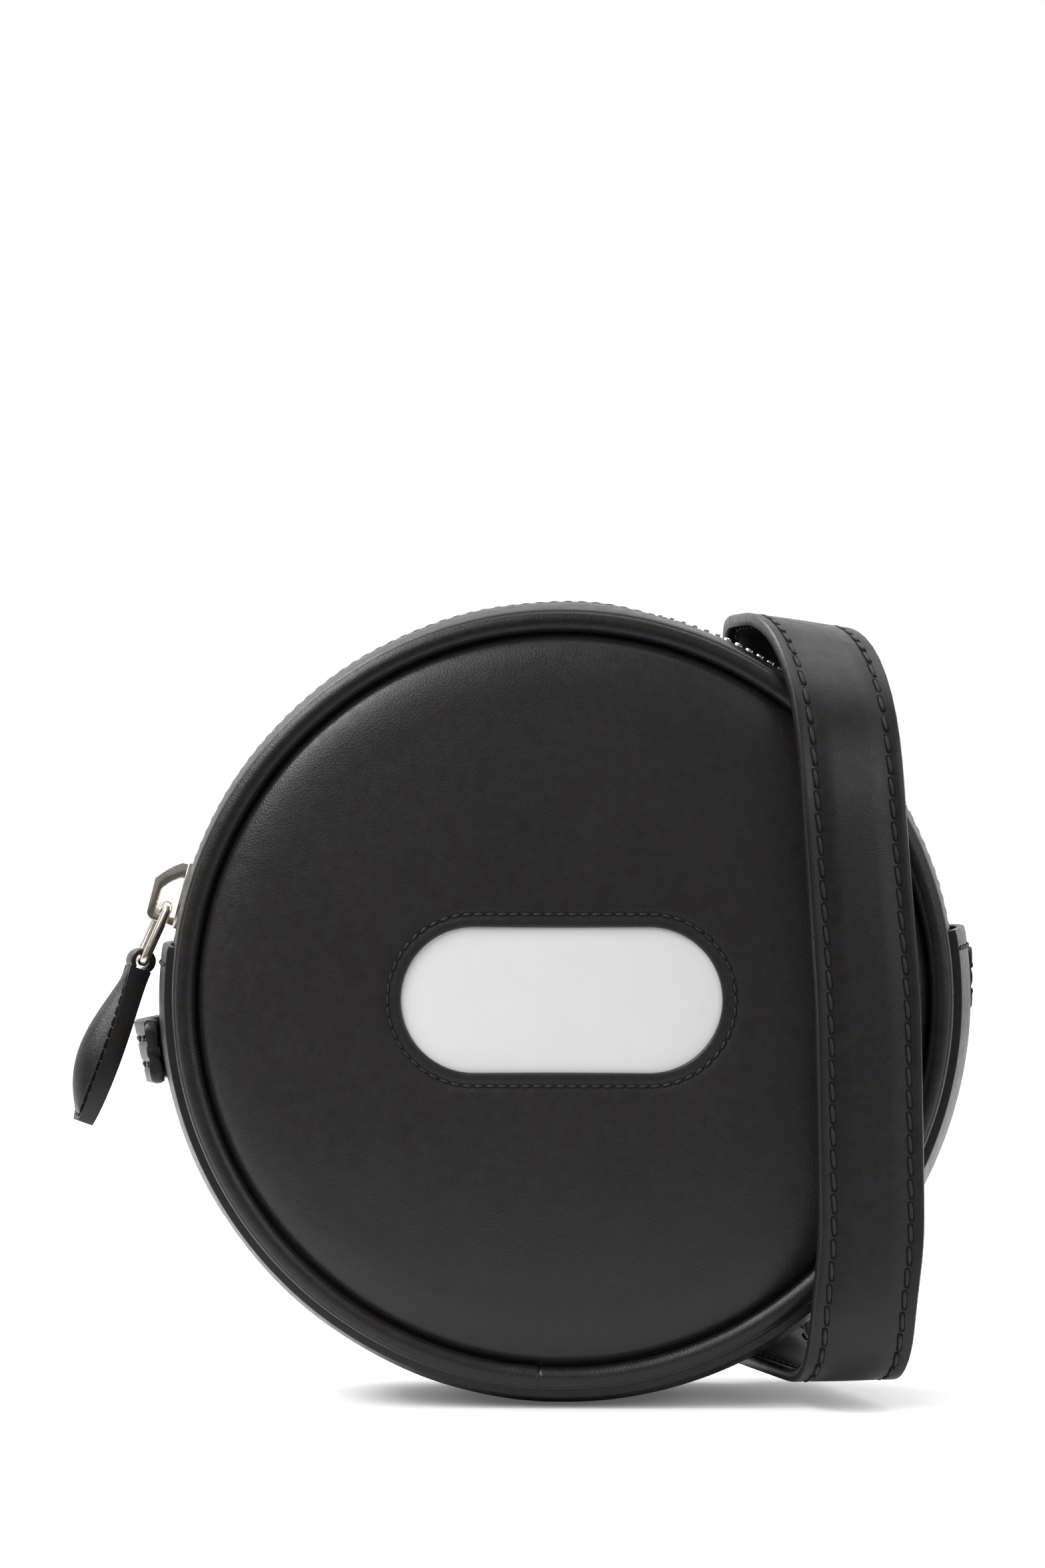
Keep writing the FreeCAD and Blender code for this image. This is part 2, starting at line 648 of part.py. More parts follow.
def make_pull_ring():
    """Ring: a rounded oblong of bent wire."""
    body = new_body("pull_ring", lifted=False)
    path = new_sketch(body, "pull_ring_path", "XY_Plane")
    side, bend = "ring_width / 2", "ring_corner"
    inner = f"({side} - {bend})"
    far = "(ring_length - ring_corner)"
    bow = f"-1 * {bend} * (1 - sqrt(0.5))"
    draw_loop(path, [
        ("ring_length / 2", side), (far, side), ("ring_length", inner), ("ring_length", f"-1 * {inner}"),
        (far, f"-1 * {side}"), (bend, f"-1 * {side}"), ("0", f"-1 * {inner}"), ("0", inner),
        (bend, side)], {1: bow, 3: bow, 5: bow, 7: bow})
    wire = new_sketch(body, "pull_ring_wire", "YZ_Plane")
    wire.setExpression("AttachmentOffset.Base.z", bind("ring_length / 2"))
    draw_circle(wire, (side, "0"), "ring_wire / 2")
    pipe = body.newObject("PartDesign::AdditivePipe", "pull_ring_pipe")
    pipe.Profile = wire
    pipe.Spine = (path, [f"Edge{number}" for number in range(1, 10)])
    hang(body, RING_PIVOT, RING_LEAN)
    keep(body, "pull_ring")


def make_pull_tab():
    """Pull: a leather strip folded round the ring and sewn into a drop, with a domed outer face."""
    side = new_body("pull_side", lifted=False)
    profile = new_sketch(side, "pull_side_profile", "XZ_Plane")
    half = "pull_leather / 2"
    loop = f"{PULL_LOOP} / 2"
    neck = f"sqrt(({loop})^2 - ({half})^2)"
    end = f"(pull_length - {loop} - 0.75 * {half})"
    draw_loop(profile, [
        (neck, f"-1 * {half}"), (end, f"-0.8 * {half}"), (end, f"0.8 * {half}"), (neck, half)],
        {0: "pull_dome", 1: f"0.75 * {half}", 3: f"{loop} + {neck}"})
    draw_circle(profile, ("0", "0"), f"{PULL_HOLE} / 2")
    extrude(side, profile, "Pad", "2 * pull_width")
    face = new_body("pull_face", lifted=False)
    outline = new_sketch(face, "pull_face_outline", "XY_Plane")
    wide = "(pull_length * 0.6)"
    half_neck = f"{PULL_NECK} / 2"
    half_outline = [(f"-1 * {PULL_LOOP}", half_neck), (PULL_LOOP, half_neck), (wide, "pull_width / 2")]
    draw_loop(outline, [(x, f"-1 * {y}") for x, y in half_outline] + half_outline[::-1],
              {2: f"pull_length - {loop} - {wide}"})
    extrude(face, outline, "Pad", "4 * pull_leather")
    for body in (side, face):
        hang(body, PULL_PIVOT, "pull_lean_angle")
    tab = doc.addObject("Part::Common", "pull_tab")
    tab.Base, tab.Tool = side, face
    keep(tab, "pull_tab")


def square_to(half, face):
    """Give a face's direction made square to half of the strap's width."""
    across = Vector(half).normalize()
    return (face - across * face.dot(across)).normalize()


class Ribbon:
    """A flat strap laid as a row of cross-sections: middle, half of the width and face normal."""

    def __init__(self, middle, along, half, face):
        self.rows = []
        self.middle, self.along, self.half, self.face = middle, along, half, face
        self.mark()

    def mark(self):
        """Note the present cross-section."""
        self.rows.append((Vector(self.middle), Vector(self.half), Vector(self.face)))

    def run_to(self, middle, along, half, face, steps=1):
        """Go straight to a place, turning the strap evenly to the new section on the way."""
        start = (Vector(self.middle), Vector(self.half), Vector(self.face))
        for step in range(1, steps + 1):
            share = step / steps
            self.middle, self.half, self.face = [old + (new - old) * share for old, new in
                                                 zip(start, (middle, half, face))]
            self.face = self.face.normalize()
            self.mark()
        self.along = along

    def bend(self, towards, angle, radius, steps, crease_slide=Vector(), half=None):
        """Bend towards a direction, sliding along a slanting crease or rolling into a new section."""
        start, along, first = Vector(self.middle), Vector(self.along), Vector(self.half)
        last = half or first
        sign = 1 if self.face.dot(towards) > 0 else -1
        for step in range(1, steps + 1):
            share = step / steps
            turn_by = math.radians(angle) * share
            ahead, aside = math.sin(turn_by), math.cos(turn_by)
            self.middle = (start + along * (radius * ahead) + towards * (radius * (1 - aside))
                           + crease_slide * (radius * turn_by))
            self.half = first + (last - first) * share
            self.face = square_to(self.half, (towards * aside - along * ahead) * sign)
            self.mark()
        self.along = along * math.cos(math.radians(angle)) + towards * math.sin(math.radians(angle))

    def fold(self, corner, along, half_before, half_after, radius, steps):
        """Fold the strap flat on a slanting crease through a corner, outwards, into a new direction."""
        ahead = Vector(self.along)
        crease = (half_before - half_after) * -1
        slope = Vector(crease).normalize()
        across = (ahead - slope * ahead.dot(slope)).normalize()
        self.run_to(corner, across, crease, self.face)
        self.bend(Vector(0, 1, 0), 180, radius, steps, slope * ahead.dot(slope))
        self.along, self.half = along, half_after


def yawed(degrees):
    """Give the width and the backward direction of a strap turned so far about the upright."""
    angle = math.radians(degrees)
    wide = Vector(math.cos(angle), math.sin(angle), 0)
    return wide, Vector(-wide.y, wide.x, 0)


def strap_route():
    """Lay the strap: left end, across the back, under the bag, up the front, over the top, right end."""
    size = {name[6:]: value_of(name) for name in SIZES if name.startswith("strap_")}
    half, leather, gap = size["width"] / 2, size["leather"], size["gap"]
    up, down, right, to_back = Vector(0, 0, 1), Vector(0, 0, -1), Vector(1, 0, 0), Vector(0, 1, 0)
    middle = value_of(CENTRE)
    seat = value_of(f"{GUSSET_CROWN} + fit_gap") + leather / 2
    behind = value_of(deep(1, BACK_CROWN)) + gap + leather / 2
    fold_radius = leather / 2 + gap
    before_fold = 1.2 * half

    # Left end, sewn square to the gusset, and the run across the back
    slope = math.radians(size["left_angle"])
    tangent = Vector(-math.sin(slope), 0, math.cos(slope))
    inward = Vector(math.cos(slope), 0, math.sin(slope))
    left = up * middle - inward * seat
    strap = Ribbon(left - to_back * size["left_start"], to_back, tangent * half, inward)
    strap.run_to(left + to_back * (behind - size["corner"]), to_back, tangent * half, inward)
    strap.bend(right, 90, size["corner"], 6)

    # Fold behind the lower right, where the strap turns down
    low_wide, low_back = yawed(size["low_angle"])
    high_wide, high_back = yawed(size["high_angle"])
    front_x = value_of("piping_ring - strap_inset")
    front_y = value_of(deep(-1, FRONT_SHOULDER)) - gap - leather - half * high_wide.y
    low_z = size["floor_gap"] + leather / 2
    fold_y = behind + 2 * gap
    down_y = fold_y + 2 * fold_radius
    foot_x = front_x - size["foot_shift"]
    down_x = foot_x - (down_y - front_y) * math.tan(math.radians(size["low_angle"]))
    fold_z = middle - size["fold_drop"]
    strap.run_to(Vector(down_x - before_fold, fold_y, fold_z), right, up * half, to_back * -1, 3)
    strap.fold(Vector(down_x, fold_y, fold_z), down, up * half, right * half, fold_radius, 6)
    strap.half = right * -half

    # Under the bag and up the front, where the strap leans and turns towards its top
    strap.run_to(Vector(down_x, down_y, fold_z - before_fold), down, right * -half, to_back)
    strap.run_to(Vector(down_x, down_y, low_z + size["low_bend"]), down, low_wide * -half, low_back, 2)
    strap.bend(low_back * -1, 90, size["low_bend"], 6)
    front_low = Vector(foot_x, front_y, low_z)
    strap.run_to(front_low + low_back * size["low_bend"], low_back * -1, low_wide * -half, down)
    strap.bend(up, 90, size["low_bend"], 6)
    mid_wide, mid_back = yawed(size["mid_angle"])
    strap.run_to(Vector(front_x, front_y, low_z + 2 * size["low_bend"]), up, mid_wide * -half,
                 mid_back * -1, 2)
    strap.run_to(Vector(front_x - 0.2 * size["lean"], front_y, middle), up, mid_wide * -half,
                 mid_back * -1, 2)
    high_z = middle + value_of(f"{GUSSET_CROWN} - strap_top_drop")
    strap.run_to(Vector(front_x - size["lean"], front_y, high_z - size["front_bend"]), up, high_wide * -half,
                 high_back * -1, 3)

    # Over the top, rolled to the slope of the bag and turning straight back, and down behind
    rear_wide, rear_back = yawed(size["rear_angle"])
    roll = math.radians(size["roll_angle"])
    rise = up * (half * math.sin(roll))
    strap.bend(high_back, 90, size["front_bend"], 8, half=high_wide * (-half * math.cos(roll)) + rise)
    over_y = behind + half * rear_wide.y
    flat = over_y - rear_back.y * size["rear_bend"] - strap.middle.y
    drift = flat * math.tan(math.radians((size["high_angle"] + size["rear_angle"]) / 2))
    rolled = rear_wide * (-half * math.cos(roll)) + rise
    strap.run_to(strap.middle + Vector(-drift, flat, 0), rear_back, rolled, square_to(rolled, up), 3)
    strap.bend(down, 90, size["rear_bend"], 6, half=rear_wide * -half)
    end_x, end_z = strap.middle.x, middle + size["right_rise"]
    strap.run_to(Vector(end_x, over_y, end_z + before_fold), down, right * -half, to_back, 3)

    # Fold to the right and the right end, sewn on the rear of the gusset
    strap.fold(Vector(end_x, over_y, end_z), right, right * -half, down * half, fold_radius, 6)
    strap.half = up * half
    right_x = seat - value_of(f"gusset_bow * (strap_right_start / {SEAM})^2")
    strap.run_to(Vector(end_x + before_fold, strap.middle.y, end_z), right, up * half, to_back * -1)
    strap.run_to(Vector(right_x - size["corner"], behind, end_z), right, up * half, to_back * -1, 2)
    strap.bend(to_back * -1, 90, size["corner"], 6)
    strap.run_to(Vector(right_x, size["right_start"], end_z), to_back * -1, up * half, right * -1)
    return strap.rows


def make_strap():
    """Shoulder strap: one flat strip of leather, narrowed to a tab at its two sewn ends."""
    rows = strap_route()
    travelled = [0.0]
    for (before, _, _), (after, _, _) in zip(rows, rows[1:]):
        travelled.append(travelled[-1] + (after - before).Length)
    length = travelled[-1]
    width, narrow = value_of("strap_width"), value_of("strap_tab_width")
    tab, taper = value_of("strap_tab"), value_of("strap_taper")
    lift = value_of("strap_leather") / 2
    wires = []
    for place, (middle, half, face) in zip(travelled, rows):
        share = min(1.0, max(0.0, min(place, length - place) - tab) / taper)
        half = half * ((narrow + (width - narrow) * share) / width)
        corners = [middle + half + face * lift, middle - half + face * lift,
                   middle - half - face * lift, middle + half - face * lift]
        wires.append(Part.makePolygon(corners + corners[:1]))
    item = doc.addObject("Part::Feature", "strap")
    item.Shape = Part.makeLoft(wires, True, True)
    print(f"strap length {length:.0f} mm, volume {item.Shape.Volume:.0f} mm3")
    keep(item, "strap")


make_front()
make_back()
make_boards_and_linings()
make_piping("front_piping", -1)
make_piping("back_piping", 1)
make_lower_gusset()
make_gusset_layer("gusset_board", "gusset_leather", "gusset_board")
make_gusset_layer("gusset_lining", "gusset_leather + gusset_board", "lining")
make_zip_gusset("zip_gusset_front", -1)
make_zip_gusset("zip_gusset_rear", 1)
make_zip_sheets()
make_teeth()
make_stops()
make_slider_body()
make_slider_crown()
make_pull_ring()
make_pull_tab()
make_strap()
doc.recompute()

for item in doc.Objects:
    if "Invalid" in item.State or "Error" in item.State:
        raise RuntimeError(f"{item.Label} did not build: {item.State}")
os.makedirs("parts", exist_ok=True)
for item in pieces:
    if item.Shape.isNull() or not item.Shape.isValid():
        raise RuntimeError(f"{item.Label} has no valid shape")
    item.Shape.exportStep(f"parts/{item.Label}.step")
print(f"{len(pieces)} pieces")
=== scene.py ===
"""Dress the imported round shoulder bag: leather, piping, zip, pull, strap, and a plain white studio.

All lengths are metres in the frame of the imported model: +X right, +Y from the front to the back, +Z up.
"""
import logging
import math
from contextlib import contextmanager
from dataclasses import dataclass, field
from enum import Enum
from typing import Callable, Iterator, Sequence

import bmesh
import bpy
from mathutils import Matrix, Vector, noise


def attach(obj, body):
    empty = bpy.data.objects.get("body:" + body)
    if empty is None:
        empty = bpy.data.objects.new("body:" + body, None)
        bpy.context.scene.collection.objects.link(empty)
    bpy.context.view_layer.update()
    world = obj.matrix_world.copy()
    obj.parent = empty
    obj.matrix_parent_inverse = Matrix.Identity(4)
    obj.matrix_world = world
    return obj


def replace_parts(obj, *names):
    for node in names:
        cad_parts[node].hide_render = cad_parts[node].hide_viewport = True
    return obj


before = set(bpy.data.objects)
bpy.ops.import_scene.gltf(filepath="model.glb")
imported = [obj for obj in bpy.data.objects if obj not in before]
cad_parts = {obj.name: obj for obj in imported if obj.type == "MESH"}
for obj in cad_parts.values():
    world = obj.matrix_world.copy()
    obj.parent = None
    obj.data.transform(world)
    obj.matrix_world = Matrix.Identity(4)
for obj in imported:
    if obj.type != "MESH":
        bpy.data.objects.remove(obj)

LOG = logging.getLogger("round_bag")
MM = 0.001
CENTRE_HEIGHT = 83.6 * MM
"""Height of the middle of the round faces above the floor."""

Corner = tuple[float, float]
Colour = tuple[float, float, float]
Spot = tuple[float, float, float]
Piece = bpy.types.Object
Socket = bpy.types.NodeSocket
Material = bpy.types.Material


class Side(Enum):
    """The two sides of the bag's depth."""

    FRONT = -1.0
    BACK = 1.0


class Body(Enum):
    """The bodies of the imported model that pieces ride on."""

    BAG = "bag"
    SLIDER = "slider"
    RING = "ring"
    PULL = "pull"


def on_bag(angle: float, radius: float, depth: float) -> Vector:
    """Give a point of the bag in its round coordinates.

    Args:
        angle: radians from the left side, rising over the top.
        radius: distance from the middle of the faces.
        depth: place along Y.

    Returns:
        The point in the row frame.
    """
    return Vector((-radius * math.cos(angle), depth, CENTRE_HEIGHT + radius * math.sin(angle)))


def outwards(angle: float) -> Vector:
    """Give the direction away from the middle of the faces at an angle."""
    return on_bag(angle, 1.0, 0.0) - on_bag(angle, 0.0, 0.0)


def clamp(value: float) -> float:
    """Keep a share between 0 and 1."""
    return min(1.0, max(0.0, value))


def smooth_step(value: float) -> float:
    """Ease a share from 0 to 1 with no corner at either end."""
    share = clamp(value)
    return share * share * (3.0 - 2.0 * share)


def placed(name: str, data: bpy.types.ID) -> Piece:
    """Put an object with some data into the scene.

    Args:
        name: the object's name.
        data: its mesh, lamp or camera.

    Returns:
        The object.
    """
    obj = bpy.data.objects.new(name, data)
    bpy.context.collection.objects.link(obj)
    return obj


@contextmanager
def editing(mesh: bpy.types.Mesh) -> Iterator[bmesh.types.BMesh]:
    """Open a mesh for editing and write it back afterwards.

    Args:
        mesh: the mesh.

    Returns:
        The mesh in edit.
    """
    work = bmesh.new()
    work.from_mesh(mesh)
    yield work
    work.to_mesh(mesh)
    work.free()


def mesh_object(name: str, verts: Sequence[Vector], faces: Sequence[Sequence[int]]) -> Piece:
    """Make a smooth-shaded mesh object whose place is in its mesh.

    Args:
        name: the piece's name.
        verts: its points.
        faces: its faces as indexes of the points.

    Returns:
        The linked object.
    """
    mesh = bpy.data.meshes.new(name)
    mesh.from_pydata([tuple(v) for v in verts], [], faces)
    mesh.validate()
    with editing(mesh) as work:
        bmesh.ops.remove_doubles(work, verts=work.verts, dist=1e-7)
        bmesh.ops.recalc_face_normals(work, faces=work.faces)
    mesh.shade_smooth()
    return placed(name, mesh)


def loop_faces(loops: int, count: int, ring: bool = False) -> list[list[int]]:
    """Give the faces between closed loops of points that follow one another.

    Args:
        loops: the number of loops.
        count: the points in each.
        ring: whether the last loop joins the first.

    Returns:
        The faces as indexes of the points.
    """
    faces = []
    for i in range(loops if ring else loops - 1):
        here, there = i * count, (i + 1) % loops * count
        for j in range(count):
            n = (j + 1) % count
            faces.append([here + j, here + n, there + n, there + j])
    return faces


def grid_object(name: str, rows: Sequence[Sequence[Vector]], ring: bool = False) -> Piece:
    """Skin a row of closed cross-sections.

    Args:
        name: the piece's name.
        rows: cross-sections with the same number of points.
        ring: whether the last section joins the first.

    Returns:
        The skinned object, with its open ends capped.
    """
    count, width = len(rows), len(rows[0])
    faces = loop_faces(count, width, ring)
    if not ring:
        faces.append(list(range(width)))
        faces.append([(count - 1) * width + j for j in reversed(range(width))])
    return mesh_object(name, [point for row in rows for point in row], faces)


def bake(obj: Piece) -> Piece:
    """Turn an object's modifiers into a plain, smooth-shaded mesh and drop them.

    Args:
        obj: the piece.

    Returns:
        The same object.
    """
    graph = bpy.context.evaluated_depsgraph_get()
    mesh = bpy.data.meshes.new_from_object(obj.evaluated_get(graph), depsgraph=graph)
    obj.modifiers.clear()
    obj.data = mesh
    mesh.shade_smooth()
    return obj


def thicken(obj: Piece, sheet: float) -> Piece:
    """Give a sheet its thickness, inwards, and bake it.

    Args:
        obj: the sheet.
        sheet: its thickness.

    Returns:
        The same object.
    """
    wall = obj.modifiers.new("sheet", "SOLIDIFY")
    wall.thickness, wall.offset = sheet, -1.0
    return bake(obj)


def path_object(name: str, points: Sequence[Vector], ups: Sequence[Vector], closed: bool) -> Piece:
    """Make a line of edges that a Geometry Nodes tree can follow.

    Args:
        name: the object's name.
        points: the line's points.
        ups: the direction that faces away from the surface at each point.
        closed: whether the line joins its start.

    Returns:
        The line, with an attribute named up.
    """
    mesh = bpy.data.meshes.new(name)
    edges = [(i, i + 1) for i in range(len(points) - 1)]
    if closed:
        edges.append((len(points) - 1, 0))
    mesh.from_pydata([tuple(p) for p in points], edges, [])
    store = mesh.attributes.new("up", "FLOAT_VECTOR", "POINT")
    store.data.foreach_set("vector", [c for up in ups for c in up])
    return placed(name, mesh)


def join(name: str, objects: Sequence[Piece]) -> Piece:
    """Join several plain meshes into the first of them under one name.

    Args:
        name: the joined piece's name.
        objects: the meshes.

    Returns:
        The joined piece.
    """
    with bpy.context.temp_override(active_object=objects[0], selected_editable_objects=list(objects)):
        if len(objects) > 1:
            bpy.ops.object.join()
    objects[0].name = name
    objects[0].data.name = name
    return objects[0]


class Shader:
    """A material under construction, with short calls for its nodes."""

    def __init__(self, name: str) -> None:
        """Start a node material with a principled surface.

        Args:
            name: the material's name.
        """
        self.material = bpy.data.materials.new(name)
        self.material.use_nodes = True
        self.tree = self.material.node_tree
        self.surface = self.tree.nodes["Principled BSDF"]
        self.place = self.add("ShaderNodeTexCoord").outputs["Object"]

    def add(self, kind: str, **inputs: object) -> bpy.types.Node:
        """Add a node and set its inputs.

        Args:
            kind: the node's type.
            inputs: values or output sockets, by the input's name with _ for a space.

        Returns:
            The node.
        """
        node = self.tree.nodes.new(kind)
        for name, value in inputs.items():
            self.put(node.inputs[name.replace("_", " ")], value)
        return node

    def put(self, socket: Socket, value: object) -> None:
        """Link a socket to an output, or set its value.

        Args:
            socket: the input.
            value: the output or the value.
        """
        if isinstance(value, Socket):
            self.tree.links.new(value, socket)
        else:
            socket.default_value = value

    def noise(self, size: float, detail: float = 4.0, rough: float = 0.55) -> Socket:
        """Give a cloudy value whose features are about so many metres across.

        Args:
            size: the size of a feature in metres.
            detail: how many finer layers it has.
            rough: how strong they are.

        Returns:
            The value, from 0 to 1.
        """
        node = self.add("ShaderNodeTexNoise", Vector=self.place, Scale=1.0 / size, Detail=detail,
                        Roughness=rough)
        return node.outputs["Fac"]

    def cells(self, size: float) -> Socket:
        """Give the distance from the edges of cells about so many metres across.

        Args:
            size: the size of a feature in metres.

        Returns:
            The distance.
        """
        node = self.add("ShaderNodeTexVoronoi", Vector=self.place, Scale=1.0 / size)
        node.feature = "DISTANCE_TO_EDGE"
        return node.outputs["Distance"]

    def maths(self, operation: str, first: Socket, second: Socket) -> Socket:
        """Combine two values.

        Args:
            operation: the node's operation.
            first: the first value.
            second: the second value.

        Returns:
            The result.
        """
        node = self.add("ShaderNodeMath")
        node.operation = operation
        self.put(node.inputs[0], first)
        self.put(node.inputs[1], second)
        return node.outputs[0]

    def span(self, value: Socket, low: float, high: float,
             start: float = 0.0, end: float = 1.0) -> Socket:
        """Stretch a value from one range to another.

        Args:
            value: the value.
            low: the start of the new range.
            high: its end.
            start: the start of the old range.
            end: its end.

        Returns:
            The stretched value.
        """
        node = self.add("ShaderNodeMapRange", Value=value, From_Min=start, From_Max=end,
                        To_Min=low, To_Max=high)
        return node.outputs["Result"]

    def blend(self, share: Socket, first: Colour, second: Colour) -> Socket:
        """Mix two colours by a share.

        Args:
            share: the share of the second colour.
            first: the first colour.
            second: the second colour.

        Returns:
            The mixed colour.
        """
        node = self.add("ShaderNodeMix")
        node.data_type = "RGBA"
        self.put(node.inputs[0], share)
        self.put(node.inputs[6], (*first, 1.0))
        self.put(node.inputs[7], (*second, 1.0))
        return node.outputs[2]

    def bump(self, height: Socket, depth: float, strength: float = 1.0) -> None:
        """Raise the surface by a height, over any bump that is already there.

        Args:
            height: a height from 0 to 1.
            depth: how much a height of 1 is.
            strength: the share of it that shows.
        """
        node = self.add("ShaderNodeBump", Height=height, Distance=depth, Strength=strength)
        normal = self.surface.inputs["Normal"]
        if normal.links:
            self.put(node.inputs["Normal"], normal.links[0].from_socket)
        self.put(normal, node.outputs["Normal"])

    def set(self, **inputs: object) -> Material:
        """Set inputs of the principled surface and give the material.

        Args:
            inputs: values or output sockets, by the input's name with _ for a space.

        Returns:
            The material.
        """
        for name, value in inputs.items():
            self.put(self.surface.inputs[name.replace("_", " ")], value)
        return self.material


@dataclass(frozen=True)
class LeatherFinish:
    """Smooth dyed calf leather with a fine grain and shallow creases."""

    name: str = "black_leather"
    dark: Colour = (0.0140, 0.0127, 0.0121)
    light: Colour = (0.0205, 0.0188, 0.0180)
    grain: float = 0.65 * MM
    grain_depth: float = 0.024 * MM
    crease: float = 3.2 * MM
    crease_depth: float = 0.06 * MM
    gloss: Corner = (0.29, 0.41)
    specular: float = 0.42

    def material(self) -> Material:
        """Build the material.

        Returns:
            The material.
        """
        shader = Shader(self.name)
        patch = shader.noise(14 * MM, 5.0)
        shader.bump(shader.noise(self.crease, 2.0, 0.5), self.crease_depth, 0.7)
        shader.bump(shader.span(shader.cells(self.grain), 0.0, 1.0, 0.0, 0.28), self.grain_depth, 0.8)
        shader.bump(shader.noise(0.25 * MM, 1.0), 0.005 * MM, 0.6)
        return shader.set(
            Base_Color=shader.blend(patch, self.dark, self.light),
            Roughness=shader.span(shader.noise(2.4 * MM, 5.0), self.gloss[0], self.gloss[1], 0.3, 0.7),
            Specular_IOR_Level=self.specular)


@dataclass(frozen=True)
class VinylFinish:
    """Smooth white vinyl of the inlay."""

    name: str = "white_vinyl"
    pale: Colour = (0.85, 0.86, 0.85)
    warm: Colour = (0.81, 0.82, 0.81)

    def material(self) -> Material:
        """Build the material.

        Returns:
            The material.
        """
        shader = Shader(self.name)
        shader.bump(shader.noise(0.35 * MM, 3.0), 0.01 * MM, 0.5)
        return shader.set(
            Base_Color=shader.blend(shader.noise(9 * MM, 3.0), self.pale, self.warm),
            Roughness=shader.span(shader.noise(3 * MM, 4.0), 0.34, 0.44, 0.3, 0.7),
            Specular_IOR_Level=0.4)


@dataclass(frozen=True)
class ThreadFinish:
    """Waxed black sewing thread, with painted shade: darker along its sides and underside and where it dips
    into its holes.
    """

    name: str = "black_thread"
    # hole: painted shade of the holes, laid on the thread's sides, underside and ends
    hole: Colour = (0.0016, 0.0015, 0.0014)
    thread: Colour = (0.020, 0.0185, 0.0175)

    def material(self) -> Material:
        """Build the material.

        Returns:
            The material.
        """
        shader = Shader(self.name)
        # The sunk attribute paints shade, blending the thread towards the hole colour.
        sunk = shader.add("ShaderNodeAttribute")
        sunk.attribute_name = "sunk"
        strand = shader.noise(0.16 * MM, 2.0)
        shader.bump(strand, 0.03 * MM, 0.8)
        return shader.set(
            Base_Color=shader.blend(sunk.outputs["Fac"], self.thread, self.hole),
            Roughness=shader.span(sunk.outputs["Fac"], 0.42, 0.95), Specular_IOR_Level=0.4)


@dataclass(frozen=True)
class NickelFinish:
    """Plated zip metal, polished or tumbled."""

    name: str
    bright: Colour = (0.82, 0.77, 0.69)
    dull: Colour = (0.72, 0.67, 0.60)
    gloss: Corner = (0.12, 0.22)

    def material(self) -> Material:
        """Build the material.

        Returns:
            The material.
        """
        shader = Shader(self.name)
        wear = shader.noise(1.3 * MM, 6.0)
        shader.bump(shader.noise(0.4 * MM, 4.0), 0.004 * MM, 0.4)
        return shader.set(
            Base_Color=shader.blend(wear, self.dull, self.bright), Metallic=1.0,
            Roughness=shader.span(wear, self.gloss[0], self.gloss[1], 0.3, 0.7))


@dataclass(frozen=True)
class ClothFinish:
    """Woven cloth, for the zip tape and the linings."""

    name: str
    dark: Colour = (0.010, 0.010, 0.010)
    light: Colour = (0.030, 0.029, 0.028)
    yarn: float = 0.5 * MM

    def material(self) -> Material:
        """Build the material.

        Returns:
            The material.
        """
        shader = Shader(self.name)
        weave = []
        for axis in ("X", "Y", "Z"):
            wave = shader.add("ShaderNodeTexWave", Vector=shader.place, Scale=0.314 / self.yarn,
                              Distortion=0.4)
            wave.bands_direction = axis
            weave.append(wave.outputs["Fac"])
        height = shader.maths("MAXIMUM", shader.maths("MULTIPLY", weave[1], weave[0]), weave[2])
        shader.bump(height, 0.08 * MM, 0.8)
        return shader.set(
            # The colour follows the weave's height: painted shade, darker in the low spots between the
            # yarns.
            Base_Color=shader.blend(height, self.dark, self.light),
            Roughness=shader.span(shader.noise(1.0 * MM), 0.75, 0.92), Sheen_Weight=0.15)


@dataclass(frozen=True)
class BoardFinish:
    """Hidden stiffening: pressed fibre board."""

    name: str
    dark: Colour
    light: Colour

    def material(self) -> Material:
        """Build the material.

        Returns:
            The material.
        """
        shader = Shader(self.name)
        speck = shader.noise(0.8 * MM, 6.0)
        shader.bump(speck, 0.05 * MM, 0.6)
        return shader.set(Base_Color=shader.blend(speck, self.dark, self.light),
                          Roughness=shader.span(speck, 0.8, 0.95))


class Finishes:
    """Every material of the bag, made once."""

    def __init__(self) -> None:
        """Build the materials."""
        self.leather = LeatherFinish().material()
        # Piping, gussets, pull and strap get a darker copy of the black leather: painted shade, standing in
        # for the weaker sheen that these parts catch.
        dark, light = (0.0092, 0.0083, 0.0076), (0.0140, 0.0127, 0.0117)
        self.shade_painted_trim = LeatherFinish("shade_painted_trim_leather", dark, light, grain=0.6 * MM).material()
        self.strap = LeatherFinish("strap_leather", dark, light, grain=0.6 * MM, grain_depth=0.014 * MM,
                                   crease=4.5 * MM, crease_depth=0.04 * MM).material()
        self.edge = LeatherFinish("edge_paint", dark=(0.013, 0.0120, 0.0112), light=(0.018, 0.0165, 0.0155),
                                  grain=0.3 * MM, grain_depth=0.006 * MM, crease_depth=0.03 * MM,
                                  gloss=(0.34, 0.46)).material()
        self.vinyl = VinylFinish().material()
        self.thread = ThreadFinish().material()
        self.nickel = NickelFinish("polished_nickel").material()
        self.teeth = NickelFinish("nickel_teeth", (0.86, 0.84, 0.80), (0.76, 0.74, 0.70),
                                  (0.18, 0.30)).material()
        self.tape = ClothFinish("zip_tape").material()
        self.lining = ClothFinish("lining_cloth", (0.02, 0.02, 0.022), (0.05, 0.05, 0.055)).material()
        self.board = BoardFinish("fibre_board", (0.26, 0.17, 0.11), (0.38, 0.27, 0.18)).material()


